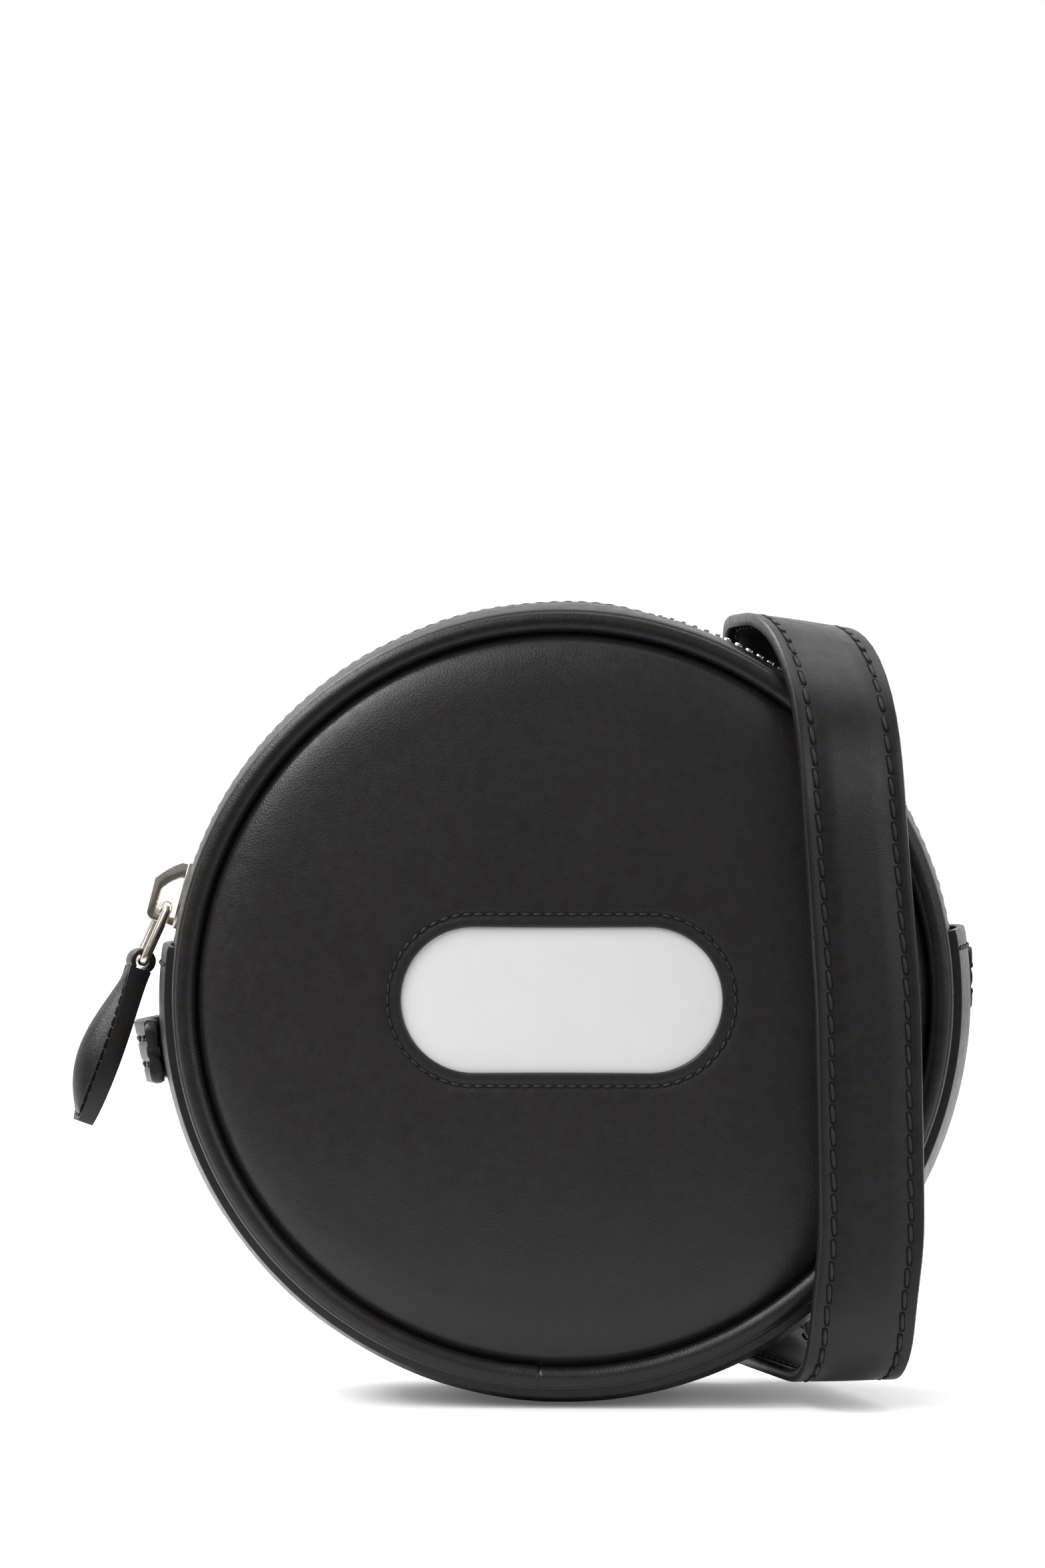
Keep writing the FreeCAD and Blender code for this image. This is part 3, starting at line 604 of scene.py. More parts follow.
def dress(obj: Piece, body: Body, slot: str, *materials: Material) -> Piece:
    """Give a finished piece its materials and its body.

    Args:
        obj: the piece.
        body: the body that it rides on.
        slot: the record's material slot; not used.
        materials: its materials, in the order of its faces' indexes.

    Returns:
        The same piece.
    """
    if materials:
        obj.data.materials.clear()
        for material in materials:
            obj.data.materials.append(material)
    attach(obj, body.value)
    LOG.info("%s: %d faces on %s", obj.name, len(obj.data.polygons), body.value)
    return obj


class RowTree:
    """Geometry Nodes tree that sets a shape at even steps along a line and turns it with the line."""

    def __init__(self, name: str, shape: Piece, material: Material) -> None:
        """Build the tree.

        Args:
            name: the tree's name.
            shape: the mesh that is repeated, made along X with its top towards Z.
            material: the finish of the result.
        """
        tree = bpy.data.node_groups.new(name, "GeometryNodeTree")
        face = tree.interface
        face.new_socket("Line", in_out="INPUT", socket_type="NodeSocketGeometry")
        self.pitch = face.new_socket("Pitch", in_out="INPUT", socket_type="NodeSocketFloat").identifier
        self.shape = face.new_socket("Shape", in_out="INPUT", socket_type="NodeSocketObject").identifier
        face.new_socket("Row", in_out="OUTPUT", socket_type="NodeSocketGeometry")
        add = tree.nodes.new
        given, result = add("NodeGroupInput"), add("NodeGroupOutput")
        curve, spaced = add("GeometryNodeMeshToCurve"), add("GeometryNodeResampleCurve")
        spaced.mode = "LENGTH"
        tangent, upward = add("GeometryNodeInputTangent"), add("GeometryNodeInputNamedAttribute")
        upward.data_type = "FLOAT_VECTOR"
        upward.inputs["Name"].default_value = "up"
        along, across = add("FunctionNodeAlignRotationToVector"), add("FunctionNodeAlignRotationToVector")
        along.axis, across.axis, across.pivot_axis = "X", "Z", "X"
        info, repeat = add("GeometryNodeObjectInfo"), add("GeometryNodeInstanceOnPoints")
        real, paint = add("GeometryNodeRealizeInstances"), add("GeometryNodeSetMaterial")
        paint.inputs["Material"].default_value = material
        wires = (
            (given, "Line", curve, "Mesh"), (curve, "Curve", spaced, "Curve"),
            (given, "Pitch", spaced, "Length"), (spaced, "Curve", repeat, "Points"),
            (tangent, "Tangent", along, "Vector"), (along, "Rotation", across, "Rotation"),
            (upward, "Attribute", across, "Vector"), (across, "Rotation", repeat, "Rotation"),
            (given, "Shape", info, "Object"), (info, "Geometry", repeat, "Instance"),
            (repeat, "Instances", real, "Geometry"), (real, "Geometry", paint, "Geometry"),
            (paint, "Geometry", result, "Row"))
        for source, output, target, entry in wires:
            tree.links.new(source.outputs[output], target.inputs[entry])
        self.tree, self.repeated = tree, shape

    def run(self, line: Piece, pitch: float) -> Piece:
        """Turn a line into the row of shapes along it.

        Args:
            line: the line, which becomes the row.
            pitch: the step along it.

        Returns:
            The same object as a plain mesh.
        """
        step = line.modifiers.new("row", "NODES")
        step.node_group = self.tree
        step[self.pitch] = pitch
        step[self.shape] = self.repeated
        return bake(line)


@dataclass
class Sewing:
    """Lockstitch rows: slanting threads that dip into holes in the leather, each over a dark slit of
    painted shade.
    """

    thread: Material
    pitch: float = 2.9 * MM
    width: float = 0.60 * MM
    height: float = 0.44 * MM
    cover: float = 0.86
    slant: float = math.radians(5.0)
    shade_slit_depth: float = 0.3 * MM
    tree: RowTree = field(init=False)

    def __post_init__(self) -> None:
        """Make the single stitch and the tree that repeats it."""
        self.stitch = join("stitch_shape", [self.strand(), self.bed()])
        self.stitch.data.transform(Matrix.Rotation(self.slant, 4, "Z"))
        self.tree = RowTree("stitch_row", self.stitch, self.thread)

    def strand(self) -> Piece:
        """Make one thread, which dips at both ends.

        Returns:
            The thread.
        """
        rows, sunk = [], []
        length = self.cover * self.pitch
        for step in range(7):
            share = step / 6.0
            swell = math.sin(math.pi * (0.06 + 0.88 * share)) ** 0.5
            dip = (2.0 * share - 1.0) ** 4
            row = []
            for k in range(8):
                turn = math.tau * k / 8
                row.append(Vector(((share - 0.5) * length, 0.5 * self.width * swell * math.cos(turn),
                                   0.5 * self.height * (swell * math.sin(turn) - dip + 0.5))))
                # Painted shade: the thread's sides, underside and dipping ends are marked dark.
                sunk.append(min(1.0, max(0.0, 0.3 - 0.7 * math.sin(turn)) + dip))
            rows.append(row)
        return mark_painted_shade(grid_object("strand", rows), sunk)

    def bed(self) -> Piece:
        """Make the dark slit that the thread lies in: painted shade of its groove and holes.

        Returns:
            The slit.
        """
        reach, side = 0.48 * self.pitch, 0.72 * self.width
        outline = []
        for k in range(12):
            turn = math.tau * (k + 0.5) / 12
            outline.append((math.copysign(reach - side, math.cos(turn)) + side * math.cos(turn),
                            side * math.sin(turn)))
        rows = [[Vector((x, y, z)) for x, y in outline] for z in (-self.shade_slit_depth, 0.0)]
        # The whole slit is marked fully dark: painted shade.
        return mark_painted_shade(grid_object("bed", rows), [1.0] * 24)

    def row(self, name: str, points: Sequence[Vector], ups: Sequence[Vector],
            closed: bool = False) -> Piece:
        """Sew one row along a line.

        Args:
            name: the row's name.
            points: the line on the bottom of the seam's groove.
            ups: the outward direction at each point.
            closed: whether the row joins its start.

        Returns:
            The row of stitches.
        """
        return self.tree.run(path_object(name, points, ups, closed), self.pitch)

    def finish(self, name: str, rows: Sequence[Piece], body: Body) -> Piece:
        """Join rows into one piece and dress it."""
        return dress(join(name, rows), body, "black_leather", self.thread)

    def clear(self) -> None:
        """Drop the single stitch once every row is sewn."""
        bpy.data.objects.remove(self.stitch)


def mark_painted_shade(obj: Piece, sunk: Sequence[float]) -> Piece:
    """Store how far down each point of a stitch lies, which its finish paints as shade.

    Args:
        obj: the stitch.
        sunk: painted shade, 0 on top to 1 in the hole, for each point.

    Returns:
        The same stitch.
    """
    store = obj.data.attributes.new("sunk", "FLOAT", "POINT")
    store.data.foreach_set("value", list(sunk))
    return obj


@dataclass
class FacePanel:
    """A round padded face: leather drawn over foam, with a rolled shoulder and, in front, a window."""

    side: Side
    sewing: Sewing
    edge: float = 74.7 * MM
    seam: float = 26.1 * MM
    shoulder: float = 62.0 * MM
    shoulder_rise: float = 5.2 * MM
    crown: float = 7.0 * MM
    leather: float = 1.4 * MM
    window: Corner | None = None
    stitch_inset: float = 2.5 * MM
    rim_height: float = 0.6 * MM
    rim_tuck: float = 0.5 * MM
    seam_groove: Corner = (0.28 * MM, 0.9 * MM)
    window_press: Corner = (0.25 * MM, 1.0 * MM)
    window_loops: int = 7
    rim_loops: int = 4
    rim_steps: tuple[Corner, ...] = ((-0.1 * MM, -0.5 * MM), (-1.2 * MM, -0.9 * MM))
    window_steps: tuple[Corner, ...] = ((-0.15 * MM, -0.25 * MM), (-0.10 * MM, -0.55 * MM))
    cloth_frames: int = 20
    puff: float = 1.0 * MM
    pucker: float = 0.12
    calm_rounds: int = 40
    around: int = 224
    outward: int = 44

    def rise(self, radius: float) -> float:
        """Give the height of the face over its seam at a radius.

        Args:
            radius: distance from the face's middle.

        Returns:
            The height.
        """
        if radius <= self.shoulder:
            share = radius / self.shoulder
            return self.crown - (self.crown - self.shoulder_rise) * share * share
        share = min(1.0, (radius - self.shoulder) / (self.edge - self.shoulder))
        drop = 1.0 - math.sqrt(max(0.0, 1.0 - share * share))
        fall = (self.shoulder_rise - self.rim_height) * drop + self.rim_tuck * share * (1.0 - share)
        return self.shoulder_rise - fall

    def outline(self, index: int, margin: float) -> Corner:
        """Give a point of the window's round-ended outline, or of a small ring where there is no window.

        Args:
            index: which of the points around.
            margin: distance outside the window's edge.

        Returns:
            The point across and up from the face's middle.
        """
        angle = math.tau * index / self.around
        if self.window is None:
            return margin * math.cos(angle), margin * math.sin(angle)
        half_length, half_height = self.window[0] / 2, self.window[1] / 2
        straight = half_length - half_height
        reach = half_height + margin
        total = 4 * straight + math.tau * reach
        place = (index / self.around * total) % total
        quarter = math.pi * reach / 2
        if place < quarter:
            turn = place / reach
            return straight + reach * math.cos(turn), reach * math.sin(turn)
        place -= quarter
        if place < 2 * straight:
            return straight - place, reach
        place -= 2 * straight
        if place < 2 * quarter:
            turn = math.pi / 2 + place / reach
            return -straight + reach * math.cos(turn), reach * math.sin(turn)
        place -= 2 * quarter
        if place < 2 * straight:
            return -straight + place, -reach
        turn = (place - 2 * straight) / reach - math.pi / 2
        return straight + reach * math.cos(turn), reach * math.sin(turn)

    def point(self, across: float, up: float, lift: float = 0.0) -> Vector:
        """Give a point on the face, or so far over it."""
        depth = self.seam + self.rise(math.hypot(across, up)) + lift
        return Vector((across, self.side.value * depth, CENTRE_HEIGHT + up))

    def sheet(self) -> list[list[Vector]]:
        """Lay out the face in loops from the window, or the middle, to the rim.

        Returns:
            The loops, from the inside out.
        """
        loops = []
        inner = 0.0 if self.window else 1.0 * MM
        for step in range(self.outward + 1):
            share = (step / self.outward) ** (1.15 if self.window else 1.0)
            loop = []
            for index in range(self.around):
                x0, z0 = self.outline(index, inner)
                turn = math.atan2(z0, x0)
                blend = smooth_step(share) * 0.35 + share * 0.65
                x1, z1 = self.edge * math.cos(turn), self.edge * math.sin(turn)
                x, z = x0 + (x1 - x0) * blend, z0 + (z1 - z0) * blend
                loop.append(self.point(x, z, self.press(x, z)))
            loops.append(loop)
        return loops

    def window_gap(self, across: float, up: float) -> float:
        """Give the distance of a point outside the window's edge.

        Args:
            across: place to the right of the face's middle.
            up: place above the face's middle.

        Returns:
            The distance, negative inside.
        """
        half_length, half_height = self.window[0] / 2, self.window[1] / 2
        away = max(0.0, abs(across) - (half_length - half_height))
        return math.hypot(away, up) - half_height

    def press(self, across: float, up: float) -> float:
        """Give how far the seam round the window draws the leather in.

        Args:
            across: place to the right of the face's middle.
            up: place above the face's middle.

        Returns:
            The move, negative into the bag.
        """
        if self.window is None:
            return 0.0
        gap = self.window_gap(across, up)
        groove = math.exp(-((gap - self.stitch_inset) / self.seam_groove[1]) ** 2)
        return -self.seam_groove[0] * groove - self.window_press[0] * math.exp(-gap / self.window_press[1])

    def swell(self, obj: Piece, held: Sequence[int]) -> None:
        """Let the leather settle over its foam: a short cloth simulation with the seams held.

        Args:
            obj: the sheet.
            held: indexes of the points that the seams hold.
        """
        before = [v.co.copy() for v in obj.data.vertices]
        group = obj.vertex_groups.new(name="seams")
        group.add(held, 1.0, "REPLACE")
        cloth = obj.modifiers.new("cloth", "CLOTH")
        settings = cloth.settings
        settings.vertex_group_mass = "seams"
        settings.quality = 6
        settings.mass = 0.6
        settings.tension_stiffness = settings.compression_stiffness = 60.0
        settings.shear_stiffness = 30.0
        settings.bending_stiffness = 6.0
        settings.use_pressure = True
        settings.uniform_pressure_force = 4.0
        settings.effector_weights.gravity = 0.0
        scene = bpy.context.scene
        for moment in range(1, self.cloth_frames + 1):
            scene.frame_set(moment)
        bake(obj)
        scene.frame_set(1)
        moves = [v.co - old for v, old in zip(obj.data.vertices, before)]
        calm = self.calmed(obj, moves, frozenset(held))
        share = min(1.0, self.puff / max(move.length for move in calm))
        for vert, old, move, even in zip(obj.data.vertices, before, moves, calm):
            vert.co = old + (even + (move - even) * self.pucker) * share

    def calmed(self, obj: Piece, moves: Sequence[Vector], held: frozenset[int]) -> list[Vector]:
        """Even out the moves of a sheet's points, as taut leather does.

        Args:
            obj: the sheet.
            moves: how far each point has moved.
            held: indexes of the points that the seams hold.

        Returns:
            The evened moves.
        """
        near: list[list[int]] = [[] for _ in moves]
        for edge in obj.data.edges:
            first, second = edge.vertices
            near[first].append(second)
            near[second].append(first)
        even = list(moves)
        for _ in range(self.calm_rounds):
            around = [sum((even[j] for j in points), Vector()) for points in near]
            even = [move if i in held else (move + around[i]) / (1 + len(near[i]))
                    for i, move in enumerate(even)]
        return even

    def build(self, name: str) -> Piece:
        """Make the face as a closed leather shell.

        Args:
            name: the piece's name.

        Returns:
            The face.
        """
        obj = self.skin(name, self.sheet())
        count = self.around
        held = list(range(self.window_loops * count)) if self.window else []
        held += list(range((self.outward + 1 - self.rim_loops) * count, (self.outward + 1) * count))
        self.swell(obj, held)
        self.turn_edges(obj)
        fine = obj.modifiers.new("smooth", "SUBSURF")
        fine.levels = fine.render_levels = 1
        return thicken(obj, self.leather)

    def skin(self, name: str, loops: Sequence[Sequence[Vector]]) -> Piece:
        """Skin the loops, and close the middle where there is no window.

        Args:
            name: the piece's name.
            loops: the loops of points, from the inside out.

        Returns:
            The sheet.
        """
        count = self.around
        verts = [p for loop in loops for p in loop]
        faces = loop_faces(len(loops), count)
        if self.window is None:
            verts.append(self.point(0.0, 0.0))
            faces += [[len(verts) - 1, (j + 1) % count, j] for j in range(count)]
        mesh = bpy.data.meshes.new(name)
        mesh.from_pydata([tuple(v) for v in verts], [], faces)
        with editing(mesh) as work:
            work.faces.ensure_lookup_table()
            work.normal_update()
            if work.faces[count * 8].normal.y * self.side.value < 0:
                bmesh.ops.reverse_faces(work, faces=work.faces)
        mesh.shade_smooth()
        return placed(name, mesh)

    def turn_edges(self, obj: Piece) -> None:
        """Turn the rim down into the seam, and the window's edge down on to the inlay.

        Args:
            obj: the face's sheet.
        """
        count = self.around
        with editing(obj.data) as work:
            self.extrude_ring(work, range(self.outward * count, (self.outward + 1) * count), self.rim_steps)
            if self.window:
                self.extrude_ring(work, range(count), self.window_steps)

    def extrude_ring(self, work: bmesh.types.BMesh, ring: range, steps: Sequence[Corner]) -> None:
        """Extend an open edge in steps inwards and down.

        Args:
            work: the mesh in edit.
            ring: indexes of the open edge's points.
            steps: moves towards the middle (negative) and over the face (negative is into the bag).
        """
        middle = Vector((0.0, 0.0, CENTRE_HEIGHT))
        work.verts.ensure_lookup_table()
        edges = [e for e in work.edges if e.is_boundary and all(v.index in ring for v in e.verts)]
        for inward, over in steps:
            made = bmesh.ops.extrude_edge_only(work, edges=edges)["geom"]
            edges = [e for e in made if isinstance(e, bmesh.types.BMEdge)]
            for vert in {v for e in edges for v in e.verts}:
                out = Vector((vert.co.x, 0.0, vert.co.z)) - middle
                if out.length > 1e-9:
                    vert.co += out.normalized() * inward
                vert.co.y += self.side.value * over

    def sew_window(self, name: str) -> Piece:
        """Sew the row of stitches round the window.

        Args:
            name: the piece's name.

        Returns:
            The stitches.
        """
        points, ups = [], []
        for index in range(self.around):
            x, z = self.outline(index, self.stitch_inset)
            points.append(self.point(x, z, self.press(x, z) + 0.10 * MM))
            ups.append(Vector((0.0, self.side.value, 0.0)))
        return self.sewing.finish(name, [self.sewing.row(name, points, ups, closed=True)], Body.BAG)


@dataclass
class Inlay:
    """Pale vinyl that fills the window, slightly puffed."""

    face: FacePanel
    below: float = 1.25 * MM
    margin: float = 2.2 * MM
    sheet: float = 0.9 * MM
    puff: float = 0.45 * MM

    def build(self, name: str) -> Piece:
        """Make the inlay as a closed sheet under the window's edge.

        Args:
            name: the piece's name.

        Returns:
            The inlay.
        """
        around, inward = self.face.around, 14
        verts = []
        for step in range(inward):
            share = 1.0 - step / inward
            for index in range(around):
                x, z = self.face.outline(index, self.margin)
                x, z = x * share, z * share
                gap = self.face.window_gap(x, z)
                lift = self.puff * (1.0 - math.exp(min(0.0, gap) / (3.0 * MM)))
                verts.append(self.face.point(x, z, lift - self.below))
        verts.append(self.face.point(0.0, 0.0, self.puff - self.below))
        last = (inward - 1) * around
        faces = loop_faces(inward, around)
        faces += [[last + j, last + (j + 1) % around, len(verts) - 1] for j in range(around)]
        obj = mesh_object(name, verts, faces)
        if obj.data.polygons[0].normal.y > 0:
            obj.data.flip_normals()
        return thicken(obj, self.sheet)


@dataclass
class Piping:
    """Corded leather piping round a face, with its joint at the bottom."""

    side: Side
    ring: float = 77.5 * MM
    bead: float = 2.5 * MM
    seam: float = 24.5 * MM
    flange: float = 1.6 * MM
    flange_inner: float = 73.0 * MM
    joint_angle: float = math.radians(273.5)
    crease: float = 402.0
    crease_depth: float = 0.2 * MM
    joint_depth: float = 0.28 * MM
    joint_lap: float = 0.10 * MM
    waves: Corner = (0.05 * MM, 0.035 * MM)
    slack: float = 0.05 * MM
    around: int = 360

    def angles(self) -> list[float]:
        """Give the angles of the sections, closer together at the joint.

        Returns:
            The angles, rising.
        """
        even = [math.tau * k / self.around for k in range(self.around)]
        steps = (-0.55, -0.4, -0.2, -0.1, 0.0, 0.1, 0.2, 0.4, 0.55)
        near = [self.joint_angle + math.radians(step) for step in steps]
        return sorted([a for a in even if abs(a - self.joint_angle) > math.radians(0.6)] + near)

    def section(self, angle: float) -> list[Vector]:
        """Give the closed section at an angle: the bead, and the flange that goes into the seam.

        Args:
            angle: radians from the left side, rising over the top.

        Returns:
            The points of the section.
        """
        away = (angle - self.joint_angle) / math.radians(0.22)
        joint = -self.joint_depth * math.exp(-away * away)
        if 0.0 < angle - self.joint_angle < math.radians(4.0):
            joint += self.joint_lap
        seed = Vector((math.cos(angle) * 9.0, math.sin(angle) * 9.0, self.side.value * 3.0))
        wave = self.waves[0] * noise.noise(seed) + self.waves[1] * noise.noise(seed * 5.0)
        radius = self.bead + joint + wave
        centre = self.seam + self.bead
        points = []
        even = [222.0 + 306.0 * step / 21.0 for step in range(22)]
        folds = [self.crease + offset for offset in (-9.0, -4.0, 0.0, 4.0, 9.0)]
        for degrees in sorted([t for t in even if abs(t - self.crease) > 10.0] + folds):
            turn = math.radians(degrees)
            reach = radius - self.crease_depth * math.exp(-((degrees - self.crease) / 4.0) ** 2)
            points.append((self.ring + reach * math.cos(turn), centre + reach * math.sin(turn)))
        low, high = self.seam + self.slack, self.seam + self.flange - self.slack
        points += [(self.ring - 0.6 * MM, low), (self.flange_inner, low),
                   (self.flange_inner, high), (self.ring - 2.1 * MM, high)]
        return [on_bag(angle, r, self.side.value * y) for r, y in points]

    def build(self, name: str) -> Piece:
        """Make the piping."""
        return grid_object(name, [self.section(a) for a in self.angles()], ring=True)


@dataclass
class LowerGusset:
    """Crowned leather band round the lower half, hemmed over the ends of the zip gusset."""

    sewing: Sewing
    half_width: float = 24.5 * MM
    edge: float = 81.8 * MM
    crown: float = 84.6 * MM
    leather: float = 1.7 * MM
    wall_inner: float = 73.0 * MM
    hem_left: float = math.radians(7.5)
    hem_right: float = math.radians(10.0)
    hem_stitch: float = 4.0 * MM
    wave: float = 0.16 * MM
    base_gap: float = 0.02 * MM
    end_sink: float = 0.12 * MM
    around: int = 210

    def outer(self, depth: float, angle: float) -> float:
        """Give the outer radius at a depth, with the base flat and slight waves of the leather.

        Args:
            depth: place along Y.
            angle: radians from the left side, rising over the top.

        Returns:
            The radius.
        """
        share = depth / self.half_width
        radius = self.edge + (self.crown - self.edge) * (1.0 - share * share)
        seed = Vector((math.cos(angle) * 4.0, math.sin(angle) * 4.0, depth / (9.0 * MM)))
        radius += self.wave * noise.noise(seed) * (1.0 - share ** 6)
        down = -math.sin(angle)
        if down > 0.5:
            radius = min(radius, (CENTRE_HEIGHT - self.base_gap) / down)
        return radius

    def build(self, name: str) -> Piece:
        """Make the band as a closed shell with its seam walls.

        Args:
            name: the piece's name.

        Returns:
            The band.
        """
        sweep = math.pi + self.hem_right + self.hem_left
        rows = []
        for step in range(self.around + 1):
            sunk = self.end_sink if step in (0, self.around) else 0.0
            rows.append(self.section(self.hem_left - (step / self.around) * sweep, sunk))
        return soften(grid_object(name, rows), 0.35 * MM, 3)

    def section(self, angle: float, sunk: float) -> list[Vector]:
        """Give the closed section at an angle.

        Args:
            angle: radians from the left side, rising over the top.
            sunk: how much lower the leather lies there.

        Returns:
            The points of the section.
        """
        half, thick = self.half_width, self.leather
        depths = [half * math.sin(math.pi / 2 * k / 12.0) for k in range(-12, 13)]
        points = [(self.wall_inner, -half)]
        points += [(self.outer(d, angle) - sunk, d) for d in depths]
        points += [(self.wall_inner, half), (self.wall_inner, half - thick)]
        points += [(self.outer(d, angle) - thick, d * (half - thick) / half) for d in reversed(depths)]
        points += [(self.wall_inner, -(half - thick))]
        return [on_bag(angle, r, d) for r, d in points]

    def sew_hems(self, name: str) -> Piece:
        """Sew a row across the band below each hem.

        Args:
            name: the piece's name.

        Returns:
            The stitches.
        """
        rows = []
        for label, edge, sign in (("left", self.hem_left, 1.0), ("right", math.pi - self.hem_right, -1.0)):
            angle = edge - sign * self.hem_stitch / self.crown
            depths = [(k / 20.0 - 0.5) * 2.0 * (self.half_width - 2.0 * MM) for k in range(21)]
            points = [on_bag(angle, self.outer(d, angle) + 0.08 * MM, d) for d in depths]
            ups = [outwards(angle)] * len(points)
            rows.append(self.sewing.row(f"{name}_{label}", points, ups))
        return self.sewing.finish(name, rows, Body.BAG)


def soften(obj: Piece, width: float, segments: int, angle: float = 40.0) -> Piece:
    """Round the sharp edges of a piece and keep its shading smooth.

    Args:
        obj: the piece.
        width: the rounding's width.
        segments: faces across the rounding.
        angle: edges sharper than so many degrees are rounded.

    Returns:
        The same piece.
    """
    bevel = obj.modifiers.new("round", "BEVEL")
    bevel.width, bevel.segments = width, segments
    bevel.limit_method, bevel.angle_limit = "ANGLE", math.radians(angle)
    bevel.use_clamp_overlap = True
    bake(obj)
    obj.data.set_sharp_from_angle(angle=math.radians(50.0))
    return obj


@dataclass
class ZipGusset:
    """One leather half of the zip gusset, turned in at the zip and topstitched beside it."""

    side: Side
    sewing: Sewing
    half_width: float = 24.5 * MM
    edge: float = 79.0 * MM
    lip: float = 81.0 * MM
    lip_rise: float = 0.9 * MM
    lip_ease: Corner = (math.radians(106.0), 0.2)
    slot: float = 6.0 * MM
    bow: float = 0.8 * MM
    leather: float = 1.7 * MM
    wall_inner: float = 73.0 * MM
    start: float = math.radians(6.2)
    end: float = math.radians(171.5)
    stitch_inset: float = 3.2 * MM
    seam_groove: Corner = (0.22 * MM, 0.8 * MM)
    wave: float = 0.18 * MM

    def outer(self, depth: float, angle: float) -> float:
        """Give the outer radius at a depth.

        Args:
            depth: place along Y.
            angle: radians from the left side, rising over the top.

        Returns:
            The radius.
        """
        share = (depth - self.slot) / (self.half_width - self.slot)
        lip = self.lip + self.lip_rise * smooth_step((self.lip_ease[0] - angle) / self.lip_ease[1])
        radius = lip + (self.edge - lip) * share + 4.0 * self.bow * share * (1.0 - share)
        seed = Vector((math.cos(angle) * 5.0, math.sin(angle) * 5.0,
                       depth / (8.0 * MM) + self.side.value * 7.0))
        radius += self.wave * noise.noise(seed) * min(1.0, 4.0 * share + 0.2)
        gap = (depth - self.slot - self.stitch_inset) / self.seam_groove[1]
        return radius - self.seam_groove[0] * math.exp(-gap * gap)

    def section(self, angle: float) -> list[Vector]:
        """Give the closed section at an angle.

        Args:
            angle: radians from the left side, rising over the top.

        Returns:
            The points of the section.
        """
        depths = [self.slot + (self.half_width - self.slot) * k / 22.0 for k in range(23)]
        points = [(self.outer(d, angle), d) for d in depths]
        points += [(self.wall_inner, self.half_width), (self.wall_inner, self.half_width - self.leather)]
        inner = [min(d, self.half_width - self.leather) for d in reversed(depths)]
        points += [(self.outer(d, angle) - self.leather, d) for d in inner[1:]]
        return [on_bag(angle, r, self.side.value * d) for r, d in points]

    def angles(self, count: int) -> list[float]:
        """Give even angles from one end to the other."""
        return [self.start + (self.end - self.start) * k / count for k in range(count + 1)]

    def build(self, name: str) -> Piece:
        """Make the half as a closed shell."""
        return soften(grid_object(name, [self.section(a) for a in self.angles(190)]), 0.45 * MM, 3)

    def sew_lip(self, name: str) -> Piece:
        """Sew the row beside the zip.

        Args:
            name: the piece's name.

        Returns:
            The stitches.
        """
        depth = self.slot + self.stitch_inset
        angles = self.angles(160)
        points = [on_bag(a, self.outer(depth, a) + 0.02 * MM, self.side.value * depth) for a in angles]
        ups = [outwards(a) for a in angles]
        return self.sewing.finish(name, [self.sewing.row(name, points, ups)], Body.BAG)


